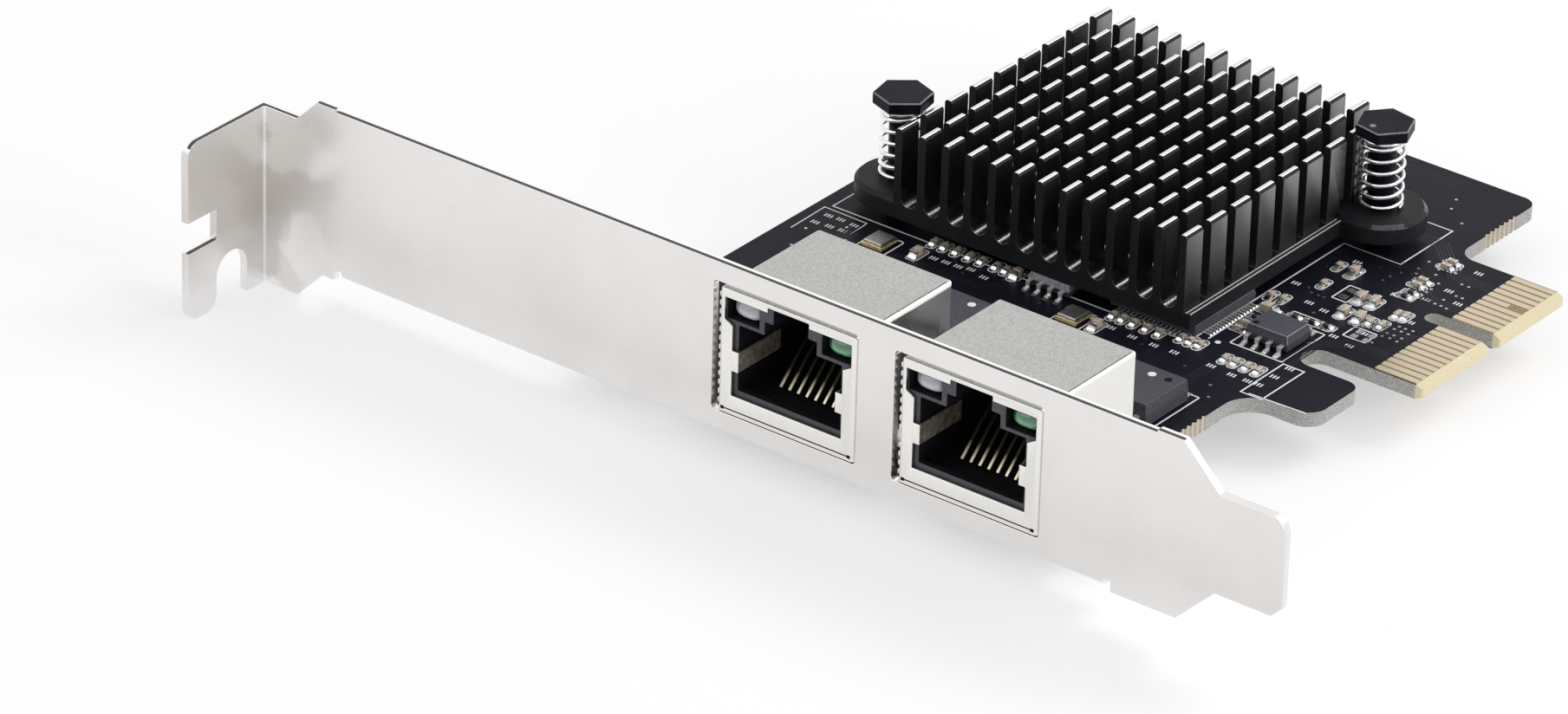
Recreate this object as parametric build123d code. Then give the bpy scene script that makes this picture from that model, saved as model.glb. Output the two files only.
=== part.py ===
"""Two-port network interface card on a full-height slot bracket.

Millimetres. While it is drawn, X runs along the bracket from the bent tab to the tongue,
Y runs from the bracket's outer face towards the card, and Z is up from the lower long
edge of the bracket, so the circuit board lies flat with its parts on top. At the end
every piece is shifted to put the origin under the middle of the card's box.
"""
import os
from math import cos, pi, sin, sqrt

from build123d import *

os.makedirs("parts", exist_ok=True)

# Slot bracket: one folded strip of plated steel
bracket_length = 120.02
bracket_sheet = 0.86
bracket_bend_radius = 0.3
bracket_height = 18.42
neck_height = 19.05
neck_drop = 3.17
neck_length = 4.95
tongue_length = 7.27
tongue_height = 10.19
tongue_taper = 4.11
tongue_round = 1.7
tongue_clip = 1.1
top_relief_start = 9.8
top_relief_from_end = 14.3
top_relief_depth = 0.25

# Flange folded back from the bracket's lower edge, under the board's front edge
flange_left = 10.5
flange_from_end = 19.5
flange_reach = 4.0
flange_bend_outside = 0.84
flange_notch_width = 0.9
flange_notch_top = 1.1

# Bent tab of the bracket
tab_reach = 11.1
tab_round = 1.5
tab_notch_low = 4.25
tab_notch_height = 3.25
tab_notch_depth = 4.1
screw_slot_width = 4.42
screw_slot_top = 2.15
screw_slot_from_face = 2.6
lobe_round = 1.5

# Fixing tabs that carry on from the flange, and the screws through the board
fixing_tab_width = 5.8
fixing_tab_reach = 8.6
fixing_screw_from_face = 5.9
fixing_screw_left_x = 46.4
screw_radius = 1.2
screw_head_radius = 2.2
screw_head_height = 1.5
screw_socket_width = 2.6
screw_socket_depth = 0.7
screw_end_gap = 0.15
screw_clearance = 0.1

# Circuit board
board_thickness = 1.57
board_low = 1.08
board_front = 2.0
board_back = 84.5
board_left = 38.1
board_right = 91.7
board_port_edge = 94.3
board_port_depth = 18.5
lug_start = 34.75
lug_end = 42.7
lug_edge = 99.5
lug_outer_round = 2.2
lug_inner_round = 1.4
lug_foot_round = 3.2
board_corner_round = 1.5
board_recess_round = 2.0

# Card edge connector
contact_pitch = 1.0
contact_width = 0.72
contact_film = 0.04
contacts_before_key = 11
contacts_after_key = 11
contact_margin = 0.55
key_width = 1.9
key_depth = 7.8
contact_length = 4.8
short_contact = 6
short_contact_cut = 1.9
edge_bevel_length = 0.8
edge_bevel_depth = 0.35
connector_start = 46.2
connector_edge = 104.1

# Plated half holes in the board's edge
half_hole_radius = 0.21
half_hole_pitch = 0.8
half_hole_count = 7
half_hole_front_start = 23.4
half_hole_back_start = 75.6

# Ports
port_count = 2
port_pitch = 21.0
port_left = 56.15
shell_width = 16.0
shell_height = 13.05
shell_depth = 14.7
shell_sheet = 0.25
shell_tail_width = 1.4
shell_tail_drop = 2.4
shell_tail_from_face = 8.6
port_gap_left = 0.7
port_gap_right = 0.12
port_gap_top = 0.42
port_gap_low = 0.1
port_hole_round = 0.45

# Cut-out in a port's face, from the shell's left side and the board's top
window_side = 0.65
window_low = 9.8
window_high = 12.12
face_side = 1.6
face_low = 2.0
window_shoulder = 0.55
latch_left = 5.6
latch_high = 12.62

# Plug cavity in the plastic housing, from the same datum
housing_clearance = 0.06
housing_front = 0.45
cavity_width = 11.9
cavity_low = 1.85
cavity_high = 9.35
cavity_depth = 11.4
cavity_lip = 0.7
cavity_lip_depth = 0.8
latch_wide = 6.0
latch_wide_high = 10.75
latch_narrow = 4.0
latch_narrow_high = 12.3
led_wall = 0.42
led_pocket_depth = 8.0
peg_radius = 1.55
peg_clearance = 0.1
peg_from_face = 8.9
peg_spacing = 11.4
peg_drop = 2.2

# Spring fingers of the port's shell, bent back into the cavity
finger_low = 4.6
finger_height = 2.1
finger_reach = 6.5
finger_sheet = 0.2
finger_wall_gap = 0.12

# Lamps in the port's upper corners
led_width = 3.4
led_corner = 1.0
led_nose = 0.8
led_from_side = 2.55
led_length = 6.0
led_set_back = 0.1
led_clearance = 0.1

# Eight contact wires of a port
wire_count = 8
wire_pitch = 1.016
wire_width = 0.34
wire_sheet = 0.24
wire_tip_y = 3.9
wire_tip_high = 2.25
wire_rise_y = 8.9
wire_rise_high = 7.0
wire_tail_y = 12.6
wire_tail_stagger = 0.9
wire_tail_drop = 2.3
wire_hole_radius = 0.38

# Heatsink
sink_width = 35.9
sink_depth = 34.35
sink_centre_x = 64.41
sink_centre_y = 55.98
sink_low = 4.1
sink_ledge = 0.75
sink_ledge_high = 5.7
sink_slot_low = 5.7
sink_top = 13.85
fin_columns = 13
fin_rows = 9
fin_thickness = 0.9
fin_length = 2.67
fin_chamfer = 0.25
ear_high = 6.1
ear_rim = 0.4
ear_left_radius = 4.5
ear_right_radius = 4.65

# Push pins and their coil springs
pin_left_outside = 1.71
pin_right_outside = 1.39
pin_left_turn = 40
pin_right_turn = 50
pin_head_top = 15.15
pin_head_height = 1.25
pin_head_across = 5.2
pin_shaft_radius = 1.3
pin_hole_clearance = 0.2
pin_barb_radius = 1.95
pin_barb_drop = 3.0
pin_barb_tip_radius = 0.8
pin_barb_gap = 0.1
pin_slit = 0.6
spring_wire = 0.38
spring_outer = 4.5
spring_turns = 7
spring_closed_turns = 1
spring_runs_per_turn = 16
spring_wire_sides = 6
spring_closed_gap = 0.02
spring_seat_gap = 0.05

# Chips
thermal_pad_inset = 0.5
bridge_x = 77.1
bridge_y = 45.3
bridge_size = 10.0
bridge_high = 1.0
bridge_lead_count = 16
bridge_lead_pitch = 0.5
bridge_lead_width = 0.22
bridge_lead_reach = 0.95
bridge_lead_sheet = 0.15
controller_size = 8.0
controller_high = 0.9
controller_x = 56.6
controller_y_first = 48.6
controller_y_second = 62.2
chip_standoff = 0.1
small_chip_length = 4.9
small_chip_width = 3.9
small_chip_reach = 3.05
small_lead_pitch = 1.27
small_lead_width = 0.42
small_lead_sheet = 0.2
small_lead_rise = 0.75
flash_x = 88.2
flash_y = 45.15
flash_high = 1.7
power_x = 66.05
power_y = 40.5
power_high = 1.35
chip_draft = 0.22

# Isolation transformers behind the ports
transformer_length = 15.0
transformer_width = 6.9
transformer_high = 2.45
transformer_shift = 3.25
transformer_front = 22.7
transformer_lead_count = 12
transformer_lead_pitch = 1.2
transformer_lead_width = 0.5
transformer_lead_reach = 1.1
transformer_lead_sheet = 0.25
transformer_lead_rise = 1.1

# Quartz crystals
crystal_length = 2.5
crystal_width = 2.8
crystal_body_high = 0.5
crystal_lid_high = 0.28
crystal_lid_inset = 0.18
crystal_first_x = 48.0
crystal_second_x = 71.1
crystal_y = 35.8

flange_right = bracket_length - flange_from_end
top_relief_end = bracket_length - top_relief_from_end
board_top = board_low + board_thickness
shell_top = board_top + shell_height
pin_left_x = sink_centre_x - sink_width / 2 - pin_left_outside
pin_left_y = sink_centre_y - sink_depth / 2 + ear_left_radius
pin_right_x = sink_centre_x + sink_width / 2 + pin_right_outside
pin_right_y = sink_centre_y + sink_depth / 2 - ear_right_radius
origin = Vector(
    bracket_length / 2,
    (board_back - tab_reach) / 2,
    -neck_drop,
)


def box_between(low, high):
    """A block from its lowest to its highest corner."""
    size = Vector(*high) - Vector(*low)
    middle = (Vector(*high) + Vector(*low)) * 0.5
    return Pos(middle.X, middle.Y, middle.Z) * Box(size.X, size.Y, size.Z)


def upright_rod(x, y, radius, low, high):
    """A round rod standing on Z."""
    return Pos(x, y, (low + high) / 2) * Cylinder(radius, high - low)


def front_plate(points, y_low, y_high):
    """A plate drawn in X and Z, between two values of Y."""
    outline = Polyline(*[(x, y_low, z) for x, z in points], close=True)
    return extrude(make_face(outline), amount=y_high - y_low, dir=(0, 1, 0))


def side_plate(points, x_low, x_high):
    """A plate drawn in Y and Z, between two values of X."""
    outline = Polyline(*[(x_low, y, z) for y, z in points], close=True)
    return extrude(make_face(outline), amount=x_high - x_low, dir=(1, 0, 0))


def strip_points(path, sheet):
    """Outline of a strip of the given thickness along a path of straight runs."""
    left = []
    right = []
    for index, point in enumerate(path):
        before = path[max(index - 1, 0)]
        after = path[min(index + 1, len(path) - 1)]
        normals = []
        for start, end in ((before, point), (point, after)):
            run = sqrt((end[0] - start[0]) ** 2 + (end[1] - start[1]) ** 2)
            if run > 0:
                normals.append((-(end[1] - start[1]) / run, (end[0] - start[0]) / run))
        across = (sum(n[0] for n in normals), sum(n[1] for n in normals))
        reach = sqrt(across[0] ** 2 + across[1] ** 2)
        across = (across[0] / reach, across[1] / reach)
        half = sheet / 2 / (across[0] * normals[0][0] + across[1] * normals[0][1])
        left.append((point[0] + across[0] * half, point[1] + across[1] * half))
        right.append((point[0] - across[0] * half, point[1] - across[1] * half))
    return left + right[::-1]


def port_x(index):
    """Left side of a port's shell."""
    return port_left + index * port_pitch


def fixing_screw_places():
    """The two screws that hold the board to the bracket: beside and between the ports."""
    between = port_x(0) + (port_pitch + shell_width) / 2
    return [(fixing_screw_left_x, fixing_screw_from_face), (between, fixing_screw_from_face)]


def flange_low():
    """Underside of the flange, whose top face carries the board."""
    return board_low - bracket_sheet


def bracket_outline():
    """Outer shape of the bracket's face, in X and Z."""
    neck_top = neck_height - neck_drop
    tongue_low = (bracket_height - tongue_height) / 2
    tongue_high = (bracket_height + tongue_height) / 2
    taper_end = bracket_length - tongue_length
    taper_start = taper_end - tongue_taper
    return [
        (0, -neck_drop),
        (neck_length, -neck_drop),
        (neck_length + neck_drop, 0),
        (flange_left - flange_notch_width, 0),
        (flange_left - flange_notch_width, flange_notch_top),
        (flange_left, flange_notch_top),
        (flange_left, flange_low()),
        (flange_right, flange_low()),
        (flange_right, flange_notch_top),
        (flange_right + flange_notch_width, flange_notch_top),
        (flange_right + flange_notch_width, 0),
        (taper_start, 0),
        (taper_end, tongue_low),
        (bracket_length - tongue_clip, tongue_low),
        (bracket_length, tongue_low + tongue_clip),
        (bracket_length, tongue_high),
        (taper_end, tongue_high),
        (taper_start, bracket_height),
        (top_relief_end, bracket_height),
        (top_relief_end, bracket_height - top_relief_depth),
        (top_relief_start, bracket_height - top_relief_depth),
        (top_relief_start, bracket_height),
        (neck_length + bracket_height - neck_top, bracket_height),
        (neck_length, neck_top),
        (0, neck_top),
    ]


def folded_strip():
    """The sheet's L section: the tab, the bend and the long face, standing full height."""
    section = [
        (0, -tab_reach),
        (bracket_sheet, -tab_reach),
        (bracket_sheet, 0),
        (bracket_length, 0),
        (bracket_length, bracket_sheet),
        (0, bracket_sheet),
    ]
    outline = Polyline(*[(x, y, -neck_drop) for x, y in section], close=True)
    strip = extrude(make_face(outline), amount=neck_drop + bracket_height, dir=(0, 0, 1))
    uprights = strip.edges().filter_by(Axis.Z)
    inner = uprights.sort_by_distance((bracket_sheet, 0, 0))[0]
    strip = fillet(inner, bracket_bend_radius)
    uprights = strip.edges().filter_by(Axis.Z)
    outer = uprights.sort_by_distance((0, bracket_sheet, 0))[0]
    return fillet(outer, bracket_bend_radius + bracket_sheet)


def tab_cuts():
    """The notch, the open screw slot and the rounded corners of the bent tab."""
    past = bracket_sheet + bracket_bend_radius
    notch = box_between(
        (-past, -tab_reach - past, tab_notch_low),
        (past, tab_notch_depth - tab_reach, tab_notch_low + tab_notch_height),
    )
    slot_radius = screw_slot_width / 2
    slot_y = -screw_slot_from_face - slot_radius
    slot_centre = screw_slot_top - slot_radius
    slot = box_between(
        (-past, slot_y - slot_radius, -neck_drop - past),
        (past, slot_y + slot_radius, slot_centre),
    )
    crown = Pos(0, slot_y, slot_centre) * Rot(0, 90, 0) * Cylinder(slot_radius, 2 * past)
    return notch + slot + crown


def port_hole(index):
    """Opening in the bracket round a port, larger than the port's shell."""
    low_x = port_x(index) - port_gap_left
    high_x = port_x(index) + shell_width + port_gap_right
    low_z = board_top - port_gap_low
    high_z = shell_top + port_gap_top
    hole = box_between(
        (low_x, -bracket_sheet, low_z),
        (high_x, 2 * bracket_sheet, high_z),
    )
    return fillet(hole.edges().filter_by(Axis.Y), port_hole_round)


def lower_flange():
    """Flange along the lower edge and its two deeper tabs, before the screw holes."""
    low = flange_low()
    flange = box_between(
        (flange_left, bracket_sheet / 2, low),
        (flange_right, flange_reach, board_low),
    )
    for x, _ in fixing_screw_places():
        tab = box_between(
            (x - fixing_tab_width / 2, bracket_sheet / 2, low),
            (x + fixing_tab_width / 2, fixing_tab_reach, board_low),
        )
        rounded = tab.edges().filter_by(Axis.Z).sort_by(Axis.Y)[-2:]
        flange += fillet(rounded, 1.5 * bracket_sheet)
    return flange


def make_bracket():
    blank = folded_strip() & front_plate(bracket_outline(), -tab_reach - 1, 2 * bracket_sheet)
    tab_end = -tab_reach
    corner_edges = [
        ((bracket_sheet / 2, tab_end, neck_height - neck_drop), tab_round),
        ((bracket_sheet / 2, tab_end, -neck_drop), lobe_round),
    ]
    for place, radius in corner_edges:
        blank = fillet(blank.edges().filter_by(Axis.X).sort_by_distance(place)[0], radius)
    bracket = blank - tab_cuts()
    inner_lobe = (bracket_sheet / 2, tab_notch_depth - tab_reach, -neck_drop)
    lobe_edge = bracket.edges().filter_by(Axis.X).sort_by_distance(inner_lobe)[0]
    bracket = fillet(lobe_edge, lobe_round)
    tongue_high = (bracket_height + tongue_height) / 2
    tongue_corner = (bracket_length, bracket_sheet / 2, tongue_high)
    tongue_edge = bracket.edges().filter_by(Axis.Y).sort_by_distance(tongue_corner)[0]
    bracket = fillet(tongue_edge, tongue_round)
    for index in range(port_count):
        bracket -= port_hole(index)
    bracket += lower_flange()
    heel = (bracket_length / 2, 0, flange_low())
    bracket = fillet(bracket.edges().filter_by(Axis.X).sort_by_distance(heel)[0], flange_bend_outside)
    for x, y in fixing_screw_places():
        bracket -= upright_rod(x, y, screw_radius, flange_low() - 1, board_low + 1)
    return bracket


def connector_length():
    """Length of the card edge along Y, from its first side to its last."""
    first = (contacts_before_key - 1) * contact_pitch + 2 * contact_margin
    last = (contacts_after_key - 1) * contact_pitch + 2 * contact_margin
    return first + key_width + last


def contact_places():
    """Middle of each edge contact along Y, with its number."""
    places = []
    for number in range(contacts_before_key):
        places.append((number + 1, connector_start + contact_margin + number * contact_pitch))
    first_after = places[-1][1] + 2 * contact_margin + key_width
    for number in range(contacts_after_key):
        count = contacts_before_key + number + 1
        places.append((count, first_after + number * contact_pitch))
    return places


def board_outline():
    """Corners of the board in X and Y, each with the radius that rounds it."""
    slot_round = (connector_start - lug_end) / 2 - 0.01
    shoulder = board_port_edge - board_right
    connector_end = connector_start + connector_length()
    return [
        ((board_left, board_front), 0.3),
        ((board_port_edge, board_front), 0.3),
        ((board_port_edge, board_front + board_port_depth - shoulder), 0.3),
        ((board_right, board_front + board_port_depth), 0.3),
        ((board_right, lug_start), lug_foot_round),
        ((lug_edge, lug_start), lug_outer_round),
        ((lug_edge, lug_end), lug_inner_round),
        ((board_right, lug_end), slot_round),
        ((board_right, connector_start), slot_round),
        ((connector_edge, connector_start), 0.3),
        ((connector_edge, connector_end), 0.3),
        ((board_right, connector_end), board_recess_round),
        ((board_right, board_back), board_corner_round),
        ((board_left, board_back), board_corner_round),
    ]


def key_notch():
    """Slot between the two groups of contacts, round at its inner end."""
    radius = key_width / 2
    middle = connector_start + 2 * contact_margin + radius
    middle += (contacts_before_key - 1) * contact_pitch
    inner = connector_edge - key_depth + radius
    past = 1.0
    slot = box_between(
        (inner, middle - radius, board_low - past),
        (connector_edge + past, middle + radius, board_top + past),
    )
    return slot + upright_rod(inner, middle, radius, board_low - past, board_top + past)


def edge_bevels():
    """Wedges that thin the card edge on both sides."""
    past = 0.2
    slope = edge_bevel_depth / edge_bevel_length
    start = connector_edge - edge_bevel_length
    end = connector_edge + past
    low_y = connector_start - past
    length = connector_length() + 2 * past
    wedges = []
    for face, way in ((board_top, 1), (board_low, -1)):
        corner = (start, low_y, face)
        above = (end, low_y, face + way * past)
        back_above = (start, low_y, face + way * past)
        below = (end, low_y, face - way * slope * (end - start))
        outline = Polyline(corner, below, above, back_above, close=True)
        wedges.append(extrude(make_face(outline), amount=length, dir=(0, 1, 0)))
    return wedges


def half_hole_places():
    """Centres of the plated half holes on the board's long edge."""
    places = []
    for start in (half_hole_front_start, half_hole_back_start):
        for number in range(half_hole_count):
            places.append((board_right, start + number * half_hole_pitch))
    return places


def wire_tail_place(index, number):
    """Where a port's contact wire goes through the board."""
    middle = port_x(index) + shell_width / 2
    x = middle + (number - (wire_count - 1) / 2) * wire_pitch
    return x, wire_tail_y - (number % 2) * wire_tail_stagger


def peg_places(index):
    """The two plastic pegs under a port."""
    middle = port_x(index) + shell_width / 2
    return [(middle + side * peg_spacing / 2, peg_from_face) for side in (-1, 1)]


def board_drillings():
    """Every hole through the board."""
    low = board_low - 1
    high = board_top + 1
    holes = []
    for x, y in ((pin_left_x, pin_left_y), (pin_right_x, pin_right_y)):
        holes.append(upright_rod(x, y, pin_shaft_radius + pin_hole_clearance, low, high))
    for x, y in fixing_screw_places():
        holes.append(upright_rod(x, y, screw_radius + screw_clearance, low, high))
    for x, y in half_hole_places():
        holes.append(upright_rod(x, y, half_hole_radius, low, high))
    for index in range(port_count):
        for x, y in peg_places(index):
            holes.append(upright_rod(x, y, peg_radius + peg_clearance, low, high))
        for number in range(wire_count):
            x, y = wire_tail_place(index, number)
            holes.append(upright_rod(x, y, wire_hole_radius, low, high))
        for side_x in (port_x(index), port_x(index) + shell_width - shell_sheet):
            holes.append(
                box_between(
                    (side_x - peg_clearance, shell_tail_from_face - peg_clearance, low),
                    (
                        side_x + shell_sheet + peg_clearance,
                        shell_tail_from_face + shell_tail_width + peg_clearance,
                        high,
                    ),
                )
            )
    return holes


def make_circuit_board():
    corners = board_outline()
    outline = FilletPolyline(
        *[(x, y, board_low) for (x, y), _ in corners],
        radius=[radius for _, radius in corners],
        close=True,
    )
    board = extrude(make_face(outline), amount=board_thickness, dir=(0, 0, 1))
    return board - [key_notch()] - edge_bevels() - board_drillings()


def make_edge_contacts(on_top):
    """Gold contacts on one side of the card edge; one of them is cut short."""
    contacts = []
    outer = connector_edge - edge_bevel_length
    for number, y in contact_places():
        is_short = number == contacts_before_key + short_contact
        cut = short_contact_cut if is_short else 0
        low = board_top if on_top else board_low - contact_film
        contacts.append(
            box_between(
                (outer - contact_length, y - contact_width / 2, low),
                (outer - cut, y + contact_width / 2, low + contact_film),
            )
        )
    return Compound(children=contacts)


def make_screws():
    """Pan-head screws with a hexagon socket, down through the board into the fixing tabs."""
    screws = []
    for x, y in fixing_screw_places():
        head = upright_rod(x, y, screw_head_radius, board_top, board_top + screw_head_height)
        rim = head.edges().filter_by(GeomType.CIRCLE).sort_by(Axis.Z)[-1]
        head = chamfer(rim, 0.3 * screw_head_height)
        shank_end = board_low - bracket_sheet - screw_end_gap
        shank = upright_rod(x, y, screw_radius, shank_end, board_top)
        socket_low = board_top + screw_head_height - screw_socket_depth
        socket = Pos(x, y, socket_low) * extrude(
            RegularPolygon(screw_socket_width / 2, 6, major_radius=False), screw_head_height
        )
        screws.append(head + shank - socket)
    return Compound(children=screws)


def face_cutout(index):
    """Opening in the front of a port's shell: plug mouth, two lamp windows, latch notch."""
    left = port_x(index)
    right = left + shell_width
    base = board_top
    points = [
        (left + face_side, base + face_low),
        (right - face_side, base + face_low),
        (right - face_side, base + window_low - window_shoulder),
        (right - window_side, base + window_low),
        (right - window_side, base + window_high),
        (right - latch_left, base + window_high),
        (right - latch_left, base + latch_high),
        (left + latch_left, base + latch_high),
        (left + latch_left, base + window_high),
        (left + window_side, base + window_high),
        (left + window_side, base + window_low),
        (left + face_side, base + window_low - window_shoulder),
    ]
    return front_plate(points, -1, shell_sheet + housing_front / 2)


def spring_fingers(index):
    """Two strips bent back from the face along the cavity's sides."""
    low = board_top + finger_low
    high = low + finger_height
    left = port_x(index) + face_side
    right = port_x(index) + shell_width - face_side
    wall = (shell_width - cavity_width) / 2
    left_run = port_x(index) + wall + finger_wall_gap
    right_run = port_x(index) + shell_width - wall - finger_wall_gap
    fingers = []
    for root, run, way in ((left, left_run, 1), (right, right_run, -1)):
        edge = root - way * finger_sheet
        points = [
            (edge, 0),
            (run + way * finger_sheet, 0),
            (run + way * finger_sheet, finger_reach),
            (run, finger_reach),
            (run, shell_sheet),
            (edge, shell_sheet),
        ]
        outline = Polyline(*[(x, y, low) for x, y in points], close=True)
        fingers.append(extrude(make_face(outline), amount=high - low, dir=(0, 0, 1)))
    return fingers


def make_jack_shell(index):
    """Folded metal shell: open below, with a tail on each side through the board."""
    left = port_x(index)
    right = left + shell_width
    shell = box_between((left, 0, board_top), (right, shell_depth, shell_top))
    uprights = shell.edges().filter_by(Axis.Z) + shell.edges().filter_by(Axis.Y).sort_by(Axis.Z)[-2:]
    shell = fillet(uprights, 2 * shell_sheet)
    hollow = box_between(
        (left + shell_sheet, shell_sheet, board_top - 1),
        (right - shell_sheet, shell_depth - shell_sheet, shell_top - shell_sheet),
    )
    shell = shell - hollow - face_cutout(index)
    for side_x in (left, right - shell_sheet):
        shell += box_between(
            (side_x, shell_tail_from_face, board_top - shell_tail_drop),
            (side_x + shell_sheet, shell_tail_from_face + shell_tail_width, board_top + 1),
        )
    for finger in spring_fingers(index):
        shell += finger
    return shell


def plug_cavity(index):
    """The stepped mouth that takes a plug and its latch."""
    middle = port_x(index) + shell_width / 2
    base = board_top
    points = [
        (middle - cavity_width / 2, base + cavity_low),
        (middle + cavity_width / 2, base + cavity_low),
        (middle + cavity_width / 2, base + cavity_high),
        (middle + latch_wide / 2, base + cavity_high),
        (middle + latch_wide / 2, base + latch_wide_high),
        (middle + latch_narrow / 2, base + latch_wide_high),
        (middle + latch_narrow / 2, base + latch_narrow_high),
        (middle - latch_narrow / 2, base + latch_narrow_high),
        (middle - latch_narrow / 2, base + latch_wide_high),
        (middle - latch_wide / 2, base + latch_wide_high),
        (middle - latch_wide / 2, base + cavity_high),
        (middle - cavity_width / 2, base + cavity_high),
    ]
    return front_plate(points, -1, cavity_depth)


def led_middle(index, side):
    """Centre of a lamp in X; side is -1 on the left and 1 on the right."""
    middle = port_x(index) + shell_width / 2
    return middle + side * (shell_width / 2 - led_from_side)


def led_pocket(index, side):
    """Recess in the housing round one lamp, open at the front."""
    middle = led_middle(index, side)
    outer = port_x(index) + shell_width / 2 + side * (shell_width / 2 - window_side)
    inner = middle - side * (led_width / 2 + led_clearance)
    low = board_top + cavity_high + led_wall
    return box_between(
        (min(inner, outer), -1, low),
        (max(inner, outer), led_pocket_depth, board_top + window_high),
    )


def contact_channel(index):
    """Space behind the cavity's floor in which the contact wires run."""
    middle = port_x(index) + shell_width / 2
    half = (wire_count - 1) / 2 * wire_pitch + wire_width
    low = board_top + wire_rise_high - wire_sheet
    return box_between(
        (middle - half, cavity_depth - 1, low),
        (middle + half, shell_depth, low + 2 * wire_sheet),
    )


def make_jack_housing(index):
    """Moulded insulator of a port, with its mouth, lamp pockets and two pegs."""
    gap = shell_sheet + housing_clearance
    left = port_x(index) + gap
    right = port_x(index) + shell_width - gap
    body = box_between(
        (left, housing_front, board_top), (right, shell_depth - gap, shell_top - gap)
    )
    body -= plug_cavity(index)
    lip = box_between(
        (left, housing_front, board_top + cavity_low),
        (right, housing_front + cavity_lip_depth, board_top + cavity_low + cavity_lip),
    )
    body += lip
    for side in (-1, 1):
        body -= led_pocket(index, side)
    body -= contact_channel(index)
    for number in range(wire_count):
        x, y = wire_tail_place(index, number)
        half = wire_width / 2 + housing_clearance
        body -= box_between(
            (x - half, y - half, board_top - 1),
            (x + half, y + half, board_top + wire_rise_high),
        )
    for x, y in peg_places(index):
        body += upright_rod(x, y, peg_radius, board_top - peg_drop, board_top)
    return body


def make_led(index, side):
    """Clear lamp that nearly fills its pocket, with a rounded nose."""
    low = board_top + cavity_high + led_wall + led_clearance
    high = board_top + window_high - led_clearance
    profile = Plane.XZ * RectangleRounded(led_width, high - low, led_corner)
    lamp = extrude(profile, amount=-led_length)
    lamp = fillet(lamp.edges().group_by(Axis.Y)[0], led_nose)
    return Pos(led_middle(index, side), housing_front + led_set_back, (low + high) / 2) * lamp


def make_contact_wires(index):
    """Eight sprung wires, from their tips in the mouth to their tails under the board."""
    wires = []
    for number in range(wire_count):
        x, tail_y = wire_tail_place(index, number)
        path = [
            (wire_tip_y, board_top + wire_tip_high),
            (wire_rise_y, board_top + wire_rise_high),
            (tail_y, board_top + wire_rise_high),
            (tail_y, board_top - wire_tail_drop),
        ]
        points = strip_points(path, wire_sheet)
        wires.append(side_plate(points, x - wire_width / 2, x + wire_width / 2))
    return Compound(children=wires)


def fin_left(column):
    """Left side of a column of fins."""
    first = sink_centre_x - sink_width / 2 + sink_ledge
    span = sink_width - 2 * sink_ledge - fin_thickness
    return first + column * span / (fin_columns - 1)


def fin_front(row):
    """Front of a row of fins."""
    first = sink_centre_y - sink_depth / 2
    return first + row * (sink_depth - fin_length) / (fin_rows - 1)


def sink_comb():
    """Section of the heatsink across its long slots: fins with round-bottomed gaps."""
    left = sink_centre_x - sink_width / 2
    right = sink_centre_x + sink_width / 2
    front = sink_centre_y - sink_depth / 2
    comb = front_plate(
        [
            (left, sink_low),
            (right, sink_low),
            (right, sink_ledge_high),
            (right - sink_ledge, sink_ledge_high),
            (right - sink_ledge, sink_top),
            (left + sink_ledge, sink_top),
            (left + sink_ledge, sink_ledge_high),
            (left, sink_ledge_high),
        ],
        front,
        front + sink_depth,
    )
    cutters = []
    for column in range(fin_columns - 1):
        low_x = fin_left(column) + fin_thickness
        high_x = fin_left(column + 1)
        radius = (high_x - low_x) / 2
        middle = (low_x + high_x) / 2
        floor = sink_slot_low + radius
        cutters.append(
            box_between((low_x, front - 1, floor), (high_x, front + sink_depth + 1, sink_top + 1))
        )
        round_floor = Pos(middle, front + sink_depth / 2, floor) * Rot(90, 0, 0)
        cutters.append(round_floor * Cylinder(radius, sink_depth + 2))
    for column in range(fin_columns):
        for corner, way in ((fin_left(column), 1), (fin_left(column) + fin_thickness, -1)):
            wedge = [
                (corner - way * fin_chamfer, sink_top + fin_chamfer),
                (corner - way * fin_chamfer, sink_top - fin_chamfer),
                (corner, sink_top - fin_chamfer),
                (corner + way * fin_chamfer, sink_top),
                (corner + way * fin_chamfer, sink_top + fin_chamfer),
            ]
            cutters.append(front_plate(wedge, front - 1, front + sink_depth + 1))
    return comb - cutters


def sink_ear(x, y, way, radius):
    """Ear for a push pin: round outside, straight up to the fins, with a bevelled rim."""
    inner = sink_centre_x + way * (sink_width / 2 - sink_ledge)
    outline = Pos(x, y) * Circle(radius)
    outline += Pos((x + inner) / 2, y) * Rectangle(abs(x - inner), 2 * radius)
    ear = Pos(0, 0, sink_low) * extrude(outline, ear_high - sink_low)
    top = ear.faces().sort_by(Axis.Z)[-1]
    at_fins = top.edges().filter_by(Axis.Y).sort_by_distance((inner, y, ear_high))[0]
    rim = [edge for edge in top.edges() if edge != at_fins]
    return chamfer(rim, ear_rim)


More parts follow.
